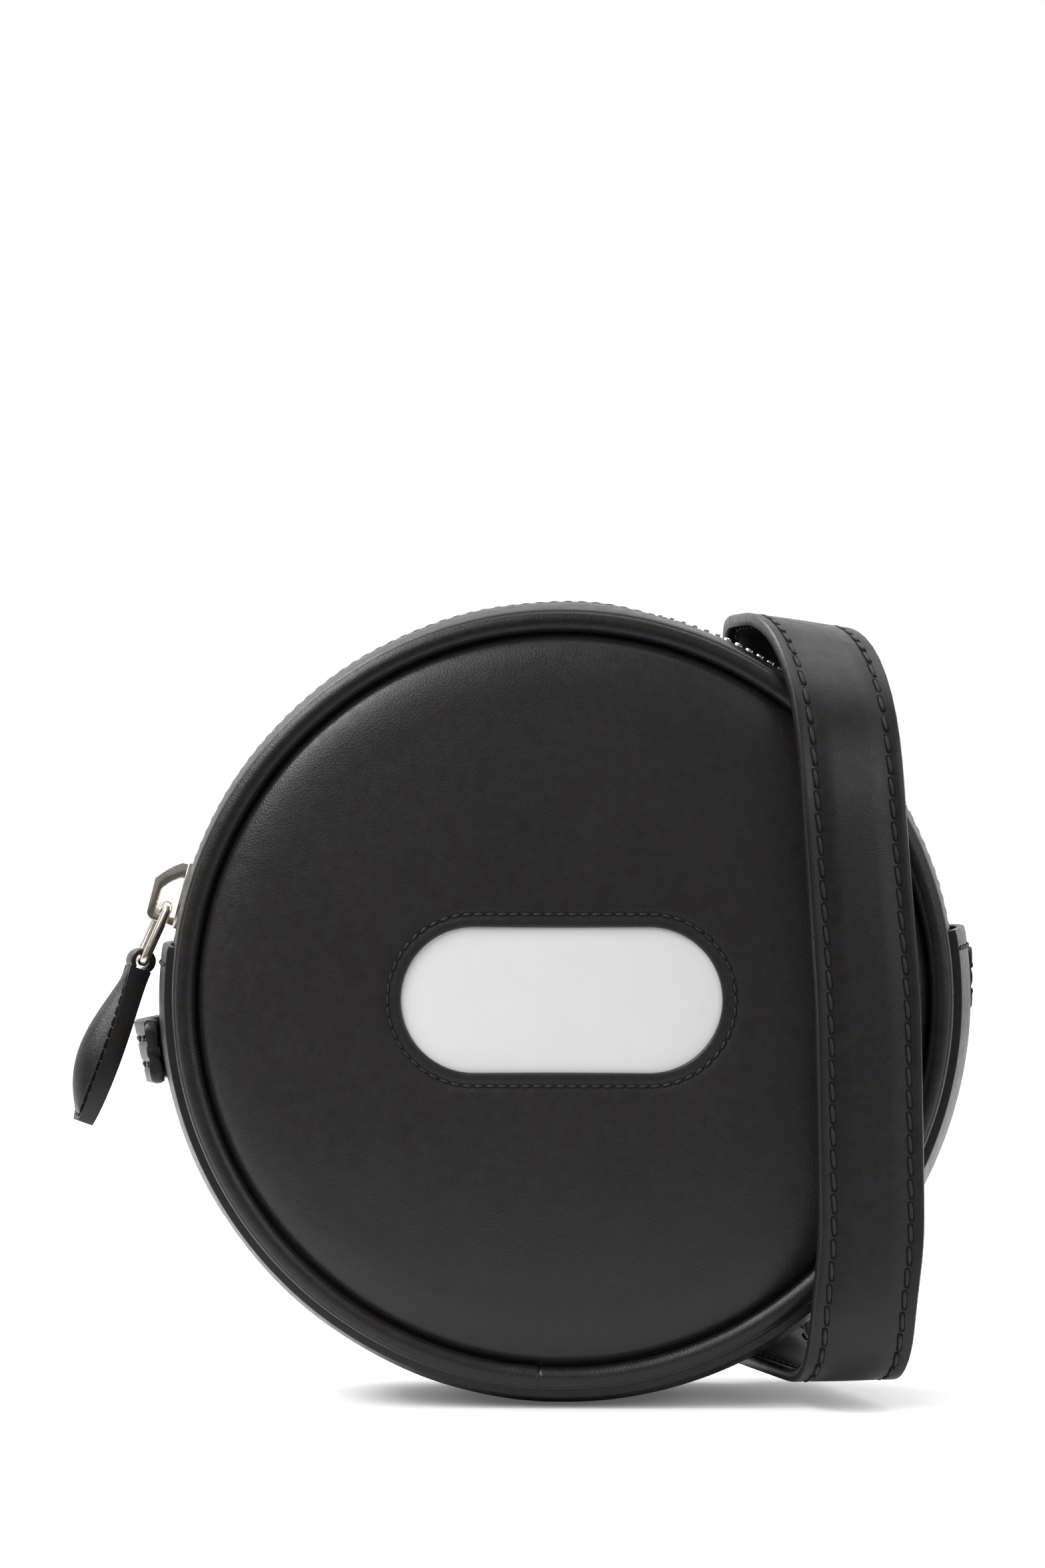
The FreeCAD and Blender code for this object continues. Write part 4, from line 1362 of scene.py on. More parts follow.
@dataclass
class ZipChain:
    """Woven tapes with two rows of metal teeth that stand between each other."""

    finishes: Finishes
    tape_radius: float = 80.25 * MM
    tape_sheet: float = 0.8 * MM
    tape_inner: float = 2.85 * MM
    tape_bend: float = 6.0 * MM
    tape_outer: float = 14.0 * MM
    tape_drop: float = 0.65 * MM
    tape_span: Corner = (math.radians(1.5), math.radians(176.0))
    pitch: float = 2.5 * MM
    tooth: Spot = (1.15 * MM, 3.6 * MM, 2.4 * MM)
    overlap: float = 0.75 * MM
    first: float = math.radians(14.5)
    last: float = math.radians(170.0)
    arch: float = 0.8 * MM
    arch_span: Corner = (math.radians(96.0), math.radians(157.0))
    arch_ease: Corner = (0.17, 0.14)

    def build_tape(self, name: str, side: Side) -> Piece:
        """Make one tape with a rib along its inner edge.

        Args:
            name: the piece's name.
            side: the side of the bag's depth.

        Returns:
            The tape.
        """
        low, thick = self.tape_radius - self.tape_drop, self.tape_sheet
        high, inner = self.tape_radius, self.tape_inner
        profile = [(high, inner), (high + 0.12 * MM, inner + 0.5 * MM), (high, inner + 1.2 * MM),
                   (high, self.tape_bend), (low, self.tape_outer), (low - thick, self.tape_outer),
                   (high - thick, self.tape_bend), (high - thick, inner)]
        count = 180
        start, end = self.tape_span
        rows = [[on_bag(start + (end - start) * k / count, r, side.value * y) for r, y in profile]
                for k in range(count + 1)]
        return grid_object(name, rows)

    def tooth_shape(self, side: Side) -> Piece:
        """Make one tooth along X, with a rounded tip, a waist and softened edges.

        Args:
            side: the side of the bag's depth.

        Returns:
            The tooth.
        """
        half, height = self.tooth[0] / 2, self.tooth[2] / 2
        tip, back = self.overlap, -self.tape_inner
        right = [(half, back), (half, -0.9 * MM), (0.8 * half, -0.4 * MM), (half, tip - 0.35 * MM),
                 (0.55 * half, tip)]
        outline = [(-half, back)] + right + [(-x, y) for x, y in reversed(right[1:])]
        rows = [[Vector((x, -side.value * y, z)) for x, y in outline] for z in (-height, height)]
        return soften(grid_object("tooth_shape", rows), 0.14 * MM, 1, 30.0)

    def stand(self, angle: float) -> float:
        """Give how far the chain stands up over its tapes, beside the strap."""
        near = smooth_step((angle - self.arch_span[0]) / self.arch_ease[0])
        return self.arch * near * smooth_step((self.arch_span[1] - angle) / self.arch_ease[1])

    def build_teeth(self, name: str, side: Side) -> Piece:
        """Set one row of teeth along the chain.

        Args:
            name: the piece's name.
            side: the side of the bag's depth.

        Returns:
            The row of teeth.
        """
        radius = self.tape_radius - self.tape_sheet / 2
        shift = 0.0 if side is Side.FRONT else self.pitch / radius / 2
        shape = self.tooth_shape(side)
        angles = [self.first + shift + (self.last - self.first - shift) * k / 400.0 for k in range(401)]
        points = [on_bag(a, radius + self.stand(a), 0.0) for a in angles]
        line = path_object(name, points, [outwards(a) for a in angles], closed=False)
        row = RowTree(name, shape, self.finishes.teeth).run(line, self.pitch)
        row.data.set_sharp_from_angle(angle=math.radians(40.0))
        bpy.data.objects.remove(shape)
        return row


def yawed(angle: float) -> tuple[Vector, Vector]:
    """Give the width and the backward direction of a strap turned so far about the upright."""
    wide = Vector((math.cos(angle), math.sin(angle), 0.0))
    return wide, Vector((-wide.y, wide.x, 0.0))


def square_to(half: Vector, face: Vector) -> Vector:
    """Give a face's direction made square to half of the strap's width."""
    across = half.normalized()
    return (face - across * face.dot(across)).normalized()


def hung(pivot: Vector, lean: float, turn: float) -> Matrix:
    """Give the place of a piece made along X that hangs from a pivot.

    Args:
        pivot: the point that it hangs from.
        lean: how far it leans outwards from straight down.
        turn: how far it is turned to the front.

    Returns:
        The matrix from the piece's own frame to the row frame.
    """
    spin = Matrix.Rotation(turn, 4, "Z") @ Matrix.Rotation(math.pi / 2 + lean, 4, "Y")
    return Matrix.Translation(pivot) @ spin


def polished_copy(node: str, name: str, width: float, segments: int) -> Piece:
    """Make a rounded copy of a rigid node.

    Args:
        node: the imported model's node.
        name: the copy's name.
        width: the width of its rounded edges.
        segments: faces across them.

    Returns:
        The copy.
    """
    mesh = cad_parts[node].data.copy()
    mesh.name = name
    with editing(mesh) as work:
        bmesh.ops.remove_doubles(work, verts=work.verts, dist=2e-6)
        bmesh.ops.dissolve_limit(work, angle_limit=math.radians(1.0), verts=work.verts, edges=work.edges)
    return soften(placed(name, mesh), width, segments, 30.0)


@dataclass
class Ring:
    """Bent wire ring between the slider and the pull."""

    place: Matrix
    wire: float = 1.0 * MM
    length: float = 12.8 * MM
    width: float = 8.4 * MM
    corner: float = 1.6 * MM

    def build(self, name: str) -> Piece:
        """Sweep the wire round a rounded oblong.

        Args:
            name: the piece's name.

        Returns:
            The ring.
        """
        centre_line: list[tuple[Vector, Vector]] = []
        half = self.width / 2 - self.corner
        spots = [(self.length - self.corner, half, 0.0), (self.corner, half, 90.0),
                 (self.corner, -half, 180.0), (self.length - self.corner, -half, 270.0)]
        for x, y, turn in spots:
            for step in range(9):
                angle = math.radians(turn + 90.0 * step / 8.0)
                out = Vector((math.cos(angle), math.sin(angle), 0.0))
                centre_line.append((Vector((x, y, 0.0)) + out * self.corner, out))
        rows, over = [], Vector((0.0, 0.0, 1.0))
        turns = [math.tau * k / 16 for k in range(16)]
        for middle, out in centre_line:
            rows.append([self.place @ (middle + (out * math.cos(a) + over * math.sin(a)) * self.wire)
                         for a in turns])
        return grid_object(name, rows, ring=True)


@dataclass
class Pull:
    """Leather pull: a strip folded round the ring and sewn into a padded drop."""

    hang: Matrix
    sewing: Sewing
    length: float = 38.5 * MM
    loop: float = 2.65 * MM
    hole: float = 1.62 * MM
    edge: float = 1.95 * MM
    dome: float = 4.2 * MM
    neck: float = 6.0 * MM
    width: float = 13.0 * MM
    widest: float = 0.58
    end_share: float = 0.93
    stitch_inset: float = 1.3 * MM

    def place(self, along: float, across: float, over: float) -> Vector:
        """Turn a point of the pull, made along X with its outer face towards -Z, into its place."""
        return self.hang @ Vector((along, across, over))

    def half_width(self, along: float) -> float:
        """Give half of the drop's width at a distance from the ring.

        Args:
            along: distance from the ring.

        Returns:
            Half of the width.
        """
        wide, start = self.width / 2, 2.5 * MM
        share = clamp((along - start) / (self.length - self.loop - start))
        if share >= self.widest:
            past = self.end_share * (share - self.widest) / (1.0 - self.widest)
            return wide * math.sqrt(1.0 - past * past)
        return self.neck / 2 + (wide - self.neck / 2) * math.sin(math.pi / 2 * share / self.widest) ** 1.3

    def lift(self, across: float, half: float, along: float, outer: bool) -> float:
        """Give the height of a face over the middle layer.

        Args:
            across: place across from the drop's middle.
            half: half of the drop's width there.
            along: distance from the ring.
            outer: whether it is the outer face.

        Returns:
            The height.
        """
        end = self.length - self.loop
        inset = min(half - abs(across), end - along)
        edge = self.edge + 0.55 * MM * math.exp(-along / (4.0 * MM)) - 0.4 * MM * (along / self.length) ** 4
        pad = self.dome if outer else 0.2 * MM
        share = clamp((along - 2.5 * MM) / (end - 1.5 * MM - 2.5 * MM))
        belly = max(0.0, math.sin(math.pi * share ** 1.35)) ** 0.8
        apart = min(1.0, abs(across) / max(0.3 * MM, half - 0.8 * self.stitch_inset))
        groove = 0.22 * MM * math.exp(-((inset - self.stitch_inset) / (0.5 * MM)) ** 2)
        return edge + pad * belly * (1.0 - apart * apart) ** 0.8 - groove

    def build(self, name: str) -> Piece:
        """Make the drop and the fold round the ring.

        Args:
            name: the piece's name.

        Returns:
            The pull.
        """
        rows = []
        end = self.length - self.loop
        top = 1.05 * self.hole
        stations = [top + (end - 0.06 * MM - top) * math.sin(math.pi / 2 * k / 46.0) for k in range(47)]
        across_steps = 22
        for along in stations:
            half = max(0.25 * MM, self.half_width(along))
            outer, inner = [], []
            for k in range(across_steps + 1):
                across = half * math.sin(math.pi * (k / across_steps - 0.5))
                outer.append(self.place(along, across, -self.lift(across, half, along, True)))
                inner.append(self.place(along, across, self.lift(across, half, along, False)))
            rows.append(outer + list(reversed(inner)))
        drop = soften(grid_object(name, rows), 0.45 * MM, 3, 50.0)
        fold_rows = []
        for step in range(25):
            turn = math.radians(32.0 + 296.0 * step / 24.0)
            section = []
            for radius, across in ((self.loop, -1), (self.loop, 1), (self.hole, 1), (self.hole, -1)):
                section.append(self.place(radius * math.cos(turn), across * self.neck / 2,
                                          radius * math.sin(turn)))
            fold_rows.append(section)
        fold = soften(grid_object(f"{name}_fold", fold_rows), 0.3 * MM, 2, 50.0)
        return join(name, [drop, fold])

    def sew(self, name: str) -> Piece:
        """Sew the row that follows the drop's edge, on both faces.

        Args:
            name: the piece's name.

        Returns:
            The stitches.
        """
        rows = []
        for label, outer in (("outer", True), ("inner", False)):
            points = []
            limit = self.length - self.loop - self.stitch_inset
            stations = [4.5 * MM + (limit - 4.5 * MM) * math.sin(math.pi / 2 * k / 40.0) for k in range(41)]
            ahead = 0.35 * self.stitch_inset
            half_line = [(a, max(0.0, self.half_width(a + ahead) - self.stitch_inset)) for a in stations]
            line = [(a, -w) for a, w in half_line] + [(a, w) for a, w in reversed(half_line[:-1])]
            sign = -1.0 if outer else 1.0
            for along, across in line:
                half = max(0.3 * MM, self.half_width(along))
                over = self.lift(across, half, along, outer) + 0.05 * MM
                points.append(self.place(along, across, sign * over))
            up = self.place(0, 0, sign) - self.place(0, 0, 0)
            rows.append(self.sewing.row(f"{name}_{label}", points, [up] * len(points)))
        return self.sewing.finish(name, rows, Body.PULL)


@dataclass
class StrapSection:
    """One cross-section of the strap: its middle, half of its width and its face's direction."""

    middle: Vector
    half: Vector
    face: Vector


@dataclass
class Strap:
    """Flat shoulder strap, sewn at both ends, that lies across the back and loops round the right side."""

    sewing: Sewing
    width: float = 22.0 * MM
    tab: float = 40.0 * MM
    tab_width: float = 13.5 * MM
    taper: float = 45.0 * MM
    leather: float = 2.6 * MM
    gap: float = 0.6 * MM
    front_x: float = 63.0 * MM
    lean: float = 4.0 * MM
    foot_shift: float = 1.8 * MM
    top: float = 77.0 * MM
    floor_gap: float = 5.2 * MM
    fold_drop: float = 26.0 * MM
    right_rise: float = 3.0 * MM
    left_start: float = 9.0 * MM
    right_start: float = 18.5 * MM
    corner: float = 11.0 * MM
    low_bend: float = 14.0 * MM
    front_bend: float = 34.0 * MM
    rear_bend: float = 10.0 * MM
    left_slope: float = math.radians(7.8)
    low_yaw: float = math.radians(15.0)
    mid_yaw: float = math.radians(12.5)
    high_yaw: float = math.radians(17.0)
    rear_yaw: float = math.radians(2.0)
    roll: float = math.radians(8.0)
    seat: float = 84.9 * MM
    right_seat: float = 83.30 * MM
    front: float = -31.3 * MM
    back: float = 31.3 * MM
    stitch_inset: float = 3.0 * MM
    tab_inset: float = 4.0 * MM
    edge_round: float = 0.7 * MM
    end_round: float = 2.5 * MM
    groove: float = 0.22 * MM
    bow: float = 3.2 * MM
    bow_span: Corner = (2.0 * MM, 34.0 * MM)

    def __post_init__(self) -> None:
        """Start with no sections."""
        self.rows: list[StrapSection] = []
        self.creased: set[int] = set()
        self.along = Vector((0.0, 1.0, 0.0))

    def start(self, middle: Vector, along: Vector, half: Vector, face: Vector) -> None:
        """Lay the first section."""
        self.rows = [StrapSection(middle, half, face)]
        self.along = along

    def run_to(self, middle: Vector, along: Vector, half: Vector, face: Vector,
               even: bool = False) -> None:
        """Go straight to a place, turning smoothly into the new section on the way.

        Args:
            middle: the place.
            along: the direction of travel there.
            half: half of the width there.
            face: the face's direction there.
            even: whether the section turns evenly, as it does beside a fold.
        """
        last = self.rows[-1]
        steps = max(2, int((middle - last.middle).length / (2.5 * MM)))
        for step in range(1, steps + 1):
            share = step / steps
            ease = share if even else smooth_step(share)
            self.rows.append(StrapSection(last.middle.lerp(middle, share), last.half.lerp(half, ease),
                                          last.face.lerp(face, ease).normalized()))
        self.along = along

    def bend(self, towards: Vector, angle: float, radius: float, slide: Vector = Vector(),
             half: Vector | None = None) -> None:
        """Bend towards a direction, sliding along a slanting crease or rolling where asked.

        Args:
            towards: the direction of the bend.
            angle: the turn in degrees.
            radius: the radius of the strap's middle.
            slide: the part of the travel that runs along the crease.
            half: half of the width at the end, where the strap rolls on the way.
        """
        last = self.rows[-1]
        sign = 1.0 if last.face.dot(towards) > 0 else -1.0
        steps = max(8, int(angle / 9.0))
        for step in range(1, steps + 1):
            turn = math.radians(angle) * step / steps
            middle = (last.middle + self.along * (radius * math.sin(turn))
                      + towards * (radius * (1.0 - math.cos(turn))) + slide * (radius * turn))
            wide = last.half.lerp(half or last.half, step / steps)
            face = (towards * math.cos(turn) - self.along * math.sin(turn)) * sign
            self.rows.append(StrapSection(middle, wide, square_to(wide, face)))
        full = math.radians(angle)
        self.along = self.along * math.cos(full) + towards * math.sin(full)

    def fold(self, corner: Vector, along: Vector, before: Vector, after: Vector, radius: float) -> None:
        """Fold the strap flat on a slanting crease through a corner.

        Args:
            corner: the middle of the crease.
            along: the direction of travel after the fold.
            before: half of the width before the fold.
            after: half of the width after it.
            radius: the radius of the strap's middle in the fold.
        """
        ahead = self.along.copy()
        crease = before - after
        slope = crease.normalized()
        across = (ahead - slope * ahead.dot(slope)).normalized()
        first = len(self.rows) - 1
        self.run_to(corner, across, crease, self.rows[-1].face, even=True)
        self.bend(Vector((0.0, 1.0, 0.0)), 180.0, radius, slope * ahead.dot(slope))
        self.creased.update(range(first, len(self.rows) + 6))
        self.along = along

    def lay(self) -> None:
        """Lay the whole route from the left end to the right end."""
        half = self.width / 2
        up, right, to_back = Vector((0.0, 0.0, 1.0)), Vector((1.0, 0.0, 0.0)), Vector((0.0, 1.0, 0.0))
        down = -up
        seat = self.seat + self.leather / 2
        behind = self.back + self.gap + self.leather / 2
        fold_radius = self.leather / 2 + self.gap
        before_fold = 1.2 * half
        tangent = Vector((-math.sin(self.left_slope), 0.0, math.cos(self.left_slope)))
        inward = Vector((math.cos(self.left_slope), 0.0, math.sin(self.left_slope)))
        left = up * CENTRE_HEIGHT - inward * seat
        self.start(left - to_back * self.left_start, to_back, tangent * half, inward)
        self.run_to(left + to_back * (behind - self.corner), to_back, tangent * half, inward)
        self.bend(right, 90.0, self.corner)

        low_wide, low_back = yawed(self.low_yaw)
        high_wide, high_back = yawed(self.high_yaw)
        front_y = self.front - self.gap - self.leather - half * high_wide.y
        low_z, high_z = self.floor_gap + self.leather / 2, CENTRE_HEIGHT + self.top
        fold_y = behind + 2 * self.gap
        down_y = fold_y + 2 * fold_radius
        foot_x = self.front_x - self.foot_shift
        down_x = foot_x - (down_y - front_y) * math.tan(self.low_yaw)
        fold_z = CENTRE_HEIGHT - self.fold_drop
        self.run_to(Vector((down_x - before_fold, fold_y, fold_z)), right, up * half, -to_back)
        self.fold(Vector((down_x, fold_y, fold_z)), down, up * half, right * half, fold_radius)

        self.run_to(Vector((down_x, down_y, fold_z - before_fold)), down, right * -half, to_back, even=True)
        self.run_to(Vector((down_x, down_y, low_z + self.low_bend)), down, low_wide * -half, low_back)
        self.bend(-low_back, 90.0, self.low_bend)
        front_low = Vector((foot_x, front_y, low_z))
        self.run_to(front_low + low_back * self.low_bend, -low_back, low_wide * -half, down)
        self.bend(up, 90.0, self.low_bend)
        mid_wide, mid_back = yawed(self.mid_yaw)
        waist = self.front_x - 0.2 * self.lean
        for x, z in ((self.front_x, low_z + 2 * self.low_bend), (waist, CENTRE_HEIGHT)):
            self.run_to(Vector((x, front_y, z)), up, mid_wide * -half, -mid_back)
        self.run_to(Vector((self.front_x - self.lean, front_y, high_z - self.front_bend)), up,
                    high_wide * -half, -high_back)

        rear_wide, rear_back = yawed(self.rear_yaw)
        rise = up * (half * math.sin(self.roll))
        level = -half * math.cos(self.roll)
        self.bend(high_back, 90.0, self.front_bend, half=high_wide * level + rise)
        over_y = behind + half * rear_wide.y
        flat = over_y - rear_back.y * self.rear_bend - self.rows[-1].middle.y
        drift = flat * math.tan((self.high_yaw + self.rear_yaw) / 2)
        rolled = rear_wide * level + rise
        self.run_to(self.rows[-1].middle + Vector((-drift, flat, 0.0)), rear_back, rolled,
                    square_to(rolled, up))
        self.bend(down, 90.0, self.rear_bend, half=rear_wide * -half)
        end_z = CENTRE_HEIGHT + self.right_rise
        end_x = self.rows[-1].middle.x
        self.run_to(Vector((end_x, over_y, end_z + before_fold)), down, right * -half, to_back)
        self.fold(Vector((end_x, over_y, end_z)), right, right * -half, down * half, fold_radius)
        right_x = self.right_seat + self.leather / 2
        folded = Vector((end_x + before_fold, self.rows[-1].middle.y, end_z))
        self.run_to(folded, right, up * half, -to_back, even=True)
        self.run_to(Vector((right_x - self.corner, behind, end_z)), right, up * half, -to_back)
        self.bend(-to_back, 90.0, self.corner)
        self.run_to(Vector((right_x, self.right_start, end_z)), -to_back, up * half, -right)
        self.relax()
        self.bow_tab(inward, to_back)
        self.rows = self.close_up(self.rows[0], self.rows[1]) + self.rows[1:]
        self.rows = self.rows[:-1] + list(reversed(self.close_up(self.rows[-1], self.rows[-2])))

    def bow_tab(self, inward: Vector, onward: Vector) -> None:
        """Let the left tab stand off the gusset behind its sewn end.

        Args:
            inward: the direction into the bag there.
            onward: the direction in which the tab runs.
        """
        for place, row in zip(self.travelled(), self.rows):
            share = (place - self.bow_span[0]) / (self.bow_span[1] - self.bow_span[0])
            if not 0.0 < share < 1.0:
                continue
            off = self.bow * math.sin(math.pi * share) ** 2
            slope = self.bow * math.pi * math.sin(math.tau * share) / (self.bow_span[1] - self.bow_span[0])
            row.middle = row.middle - inward * off
            row.half = row.half - inward * (0.3 * off)
            row.face = square_to(row.half, inward + onward * slope)

    def close_up(self, end: StrapSection, second: StrapSection) -> list[StrapSection]:
        """Give an end section and closer ones after it, where the tab's corners are rounded.

        Args:
            end: the end section.
            second: the section after it.

        Returns:
            The sections.
        """
        near = [end]
        for share in (0.03, 0.1, 0.22, 0.4, 0.65):
            near.append(StrapSection(
                end.middle.lerp(second.middle, share), end.half.lerp(second.half, share),
                end.face.lerp(second.face, share).normalized()))
        return near

    def relax(self, rounds: int = 6) -> None:
        """Ease the route so that no straight run meets a bend with a corner; folds and ends stay.

        Args:
            rounds: how often each section moves towards the middle of its neighbours.
        """
        for _ in range(rounds):
            eased = list(self.rows)
            for index in range(8, len(self.rows) - 8):
                if index in self.creased:
                    continue
                before, here, after = self.rows[index - 1:index + 2]
                half = (before.half + here.half * 2.0 + after.half) / 4.0
                eased[index] = StrapSection(
                    (before.middle + here.middle * 2.0 + after.middle) / 4.0, half,
                    square_to(half, before.face + here.face * 2.0 + after.face))
            self.rows = eased

    def travelled(self) -> list[float]:
        """Give the length of the strap up to each section.

        Returns:
            The lengths.
        """
        total = [0.0]
        for before, after in zip(self.rows, self.rows[1:]):
            total.append(total[-1] + (after.middle - before.middle).length)
        return total

    def fullness(self, place: float, length: float) -> float:
        """Give how far the strap has widened from a tab to its full width at a place along it."""
        return min(1.0, max(0.0, min(place, length - place) - self.tab) / self.taper)

    def breadth(self, share: float) -> float:
        """Give the strap's width at a share of the way from a tab to the full width."""
        return self.tab_width + (self.width - self.tab_width) * share

    def inset(self, share: float) -> float:
        """Give the distance of the stitches from the edge at such a share."""
        return self.tab_inset + (self.stitch_inset - self.tab_inset) * share

    def cut(self, place: float, length: float) -> float:
        """Give how much the rounded corners of an end take off half of the width at a place."""
        short = max(0.0, self.end_round - min(place, length - place))
        return self.end_round - math.sqrt(self.end_round ** 2 - short ** 2)

    def profile(self, share: float, cut: float) -> list[Corner]:
        """Give the closed section: two faces with a groove under each row of stitches, and rounded edges.

        Args:
            share: how far the strap has widened from a tab.
            cut: what the rounded end takes off half of the width.

        Returns:
            The points across and over the strap's middle.
        """
        half, thick = self.breadth(share) / 2 - cut, self.leather / 2
        sewn = half - self.inset(share) + 0.5 * cut
        groove = ((1.15, 0.0), (0.7, 1.0), (0.0, 1.0), (-0.7, 1.0), (-1.15, 0.0))
        top = [(half, thick - self.edge_round), (half - 0.4 * MM, thick)]
        top += [(sewn + offset * MM, thick - drop * self.groove) for offset, drop in groove]
        top += [(0.45 * sewn, thick + 0.05 * MM), (0.0, thick + 0.08 * MM)]
        upper = top + [(-x, y) for x, y in reversed(top[:-1])]
        return upper + [(x, -y) for x, y in reversed(upper)]

    def build(self, name: str) -> Piece:
        """Sweep the section along the route.

        Args:
            name: the piece's name.

        Returns:
            The strap.
        """
        self.lay()
        places = self.travelled()
        length = places[-1]
        LOG.info("strap length %.0f mm", length / MM)
        skins = []
        for place, row in zip(places, self.rows):
            wide = row.half / (self.width / 2)
            section = self.profile(self.fullness(place, length), self.cut(place, length))
            skins.append([row.middle + wide * x + row.face * y for x, y in section])
        obj = grid_object(name, skins)
        count = len(skins[0])
        painted = {0, count // 2 - 2, count // 2 - 1, count // 2, count - 2, count - 1}
        for index, face in enumerate(obj.data.polygons):
            face.material_index = int(index % count in painted or index >= count * (len(skins) - 1))
        return soften(obj, 0.3 * MM, 2, 50.0)

    def sew(self, name: str) -> Piece:
        """Sew two rows along each face.

        Args:
            name: the piece's name.

        Returns:
            The stitches.
        """
        places = self.travelled()
        length = places[-1]
        rows = []
        for label, face in (("outer", 1.0), ("inner", -1.0)):
            for edge in (1.0, -1.0):
                points, ups = [], []
                for place, row in zip(places, self.rows):
                    if not 3.0 * MM < place < length - 3.0 * MM:
                        continue
                    share = self.fullness(place, length)
                    reach = edge * (self.breadth(share) / 2 - self.inset(share))
                    wide = row.half / (self.width / 2)
                    over = self.leather / 2 - self.groove + 0.03 * MM
                    points.append(row.middle + wide * reach + row.face * face * over)
                    ups.append(row.face * face)
                rows.append(self.sewing.row(f"{name}_{label}_{edge:.0f}", points, ups))
        return self.sewing.finish(name, rows, Body.BAG)


@dataclass(frozen=True)
class Lamp:
    """Square soft lamp that faces the bag."""

    name: str
    place: Spot
    size: float
    power: float

    def hang(self) -> None:
        """Hang the lamp."""
        data = bpy.data.lights.new(self.name, "AREA")
        data.size, data.energy = self.size, self.power
        obj = placed(self.name, data)
        obj.location = self.place
        target = Vector((0.0, 0.0, CENTRE_HEIGHT))
        obj.rotation_euler = (target - Vector(self.place)).to_track_quat("-Z", "Y").to_euler()


@dataclass
class Studio:
    """White floor and backdrop, soft lamps, and a camera at the photograph's height."""

    distance: float = 1.2
    frame_height: float = 320.0 * MM
    camera_x: float = -8.0 * MM
    camera_rise: float = 44.0 * MM
    camera_yaw: float = math.radians(1.7)
    front_plane: float = -29.5 * MM
    room: float = 0.26
    backdrop: Corner = (-0.45, 0.10)
    floor_glow: Corner = (0.09, 0.9)
    shadow_reach: Corner = (0.02, 0.17)
    lit_floor: Corner = (-0.32, -0.03)
    pale: Colour = (0.88, 0.88, 0.88)
    dim: Colour = (0.05, 0.05, 0.05)
    lamps: tuple[Lamp, ...] = (
        Lamp("left", (-0.60, -0.95, 0.95), 0.80, 5.3),
        Lamp("right", (1.00, -0.85, 0.55), 0.80, 3.4),
        Lamp("glint", (-0.64, -0.72, 0.76), 0.22, 1.4),
        Lamp("rim", (-0.70, -0.30, 0.90), 0.40, 6.0),
        Lamp("behind", (-0.70, 0.55, 0.95), 0.50, 6.0),
        Lamp("top", (0.20, 0.10, 1.30), 1.00, 4.0))

    def build(self) -> None:
        """Make the floor, the world, the lamps and the camera."""
        self.floor()
        self.world()
        for lamp in self.lamps:
            lamp.hang()
        self.camera()

    def floor(self) -> None:
        """Lay a pale floor, white in the distance, that keeps the bag's shadow and is dim ahead of it."""
        reach = 6.0
        corners = [Vector((x * reach, y * reach, 0.0)) for x, y in ((-1, -1), (1, -1), (1, 1), (-1, 1))]
        obj = mesh_object("floor", corners, [[0, 1, 2, 3]])
        paint = Shader("floor_paint")
        seen = paint.add("ShaderNodeLightPath").outputs["Is Camera Ray"]
        axes = paint.add("ShaderNodeSeparateXYZ", Vector=paint.place)
        lit = paint.maths("MAXIMUM", paint.span(axes.outputs["Y"], 0.0, 1.0, *self.lit_floor), seen)
        away = paint.add("ShaderNodeVectorMath")
        away.operation = "LENGTH"
        paint.put(away.inputs[0], paint.place)
        glow = paint.span(away.outputs["Value"], *self.floor_glow, *self.shadow_reach)
        obj.data.materials.append(paint.set(
            Base_Color=paint.blend(lit, self.dim, self.pale), Roughness=0.9, Specular_IOR_Level=0.1,
            Emission_Color=(1.0, 1.0, 1.0, 1.0), Emission_Strength=paint.maths("MULTIPLY", glow, seen)))

    def world(self) -> None:
        """Put a white backdrop behind the bag and a dim room in front of it."""
        world = bpy.data.worlds.new("studio")
        bpy.context.scene.world = world
        world.use_nodes = True
        tree = world.node_tree
        add, link = tree.nodes.new, tree.links.new
        back = tree.nodes["Background"]
        back.inputs["Color"].default_value = (1.0, 1.0, 1.0, 1.0)
        axes, room = add("ShaderNodeSeparateXYZ"), add("ShaderNodeMapRange")
        room.interpolation_type = "SMOOTHSTEP"
        link(add("ShaderNodeTexCoord").outputs["Generated"], axes.inputs["Vector"])
        link(axes.outputs["Y"], room.inputs["Value"])
        limits = zip(("From Min", "From Max", "To Min", "To Max"), (*self.backdrop, self.room, 1.0))
        for name, value in limits:
            room.inputs[name].default_value = value
        path, seen, level = add("ShaderNodeLightPath"), add("ShaderNodeMath"), add("ShaderNodeMath")
        seen.operation = level.operation = "MAXIMUM"
        link(path.outputs["Is Camera Ray"], seen.inputs[0])
        link(path.outputs["Is Transmission Ray"], seen.inputs[1])
        link(seen.outputs[0], level.inputs[0])
        link(room.outputs["Result"], level.inputs[1])
        link(level.outputs[0], back.inputs["Strength"])

    def camera(self) -> None:
        """Set a level camera whose frame has the photograph's height at the front of the bag."""
        data = bpy.data.cameras.new("camera")
        data.sensor_width = 36.0
        data.lens = 36.0 * self.distance / self.frame_height
        obj = placed("camera", data)
        obj.location = (self.camera_x + self.distance * math.sin(self.camera_yaw),
                        self.front_plane - self.distance * math.cos(self.camera_yaw),
                        CENTRE_HEIGHT + self.camera_rise)
        obj.rotation_euler = (math.pi / 2, 0.0, self.camera_yaw)
        bpy.context.scene.camera = obj


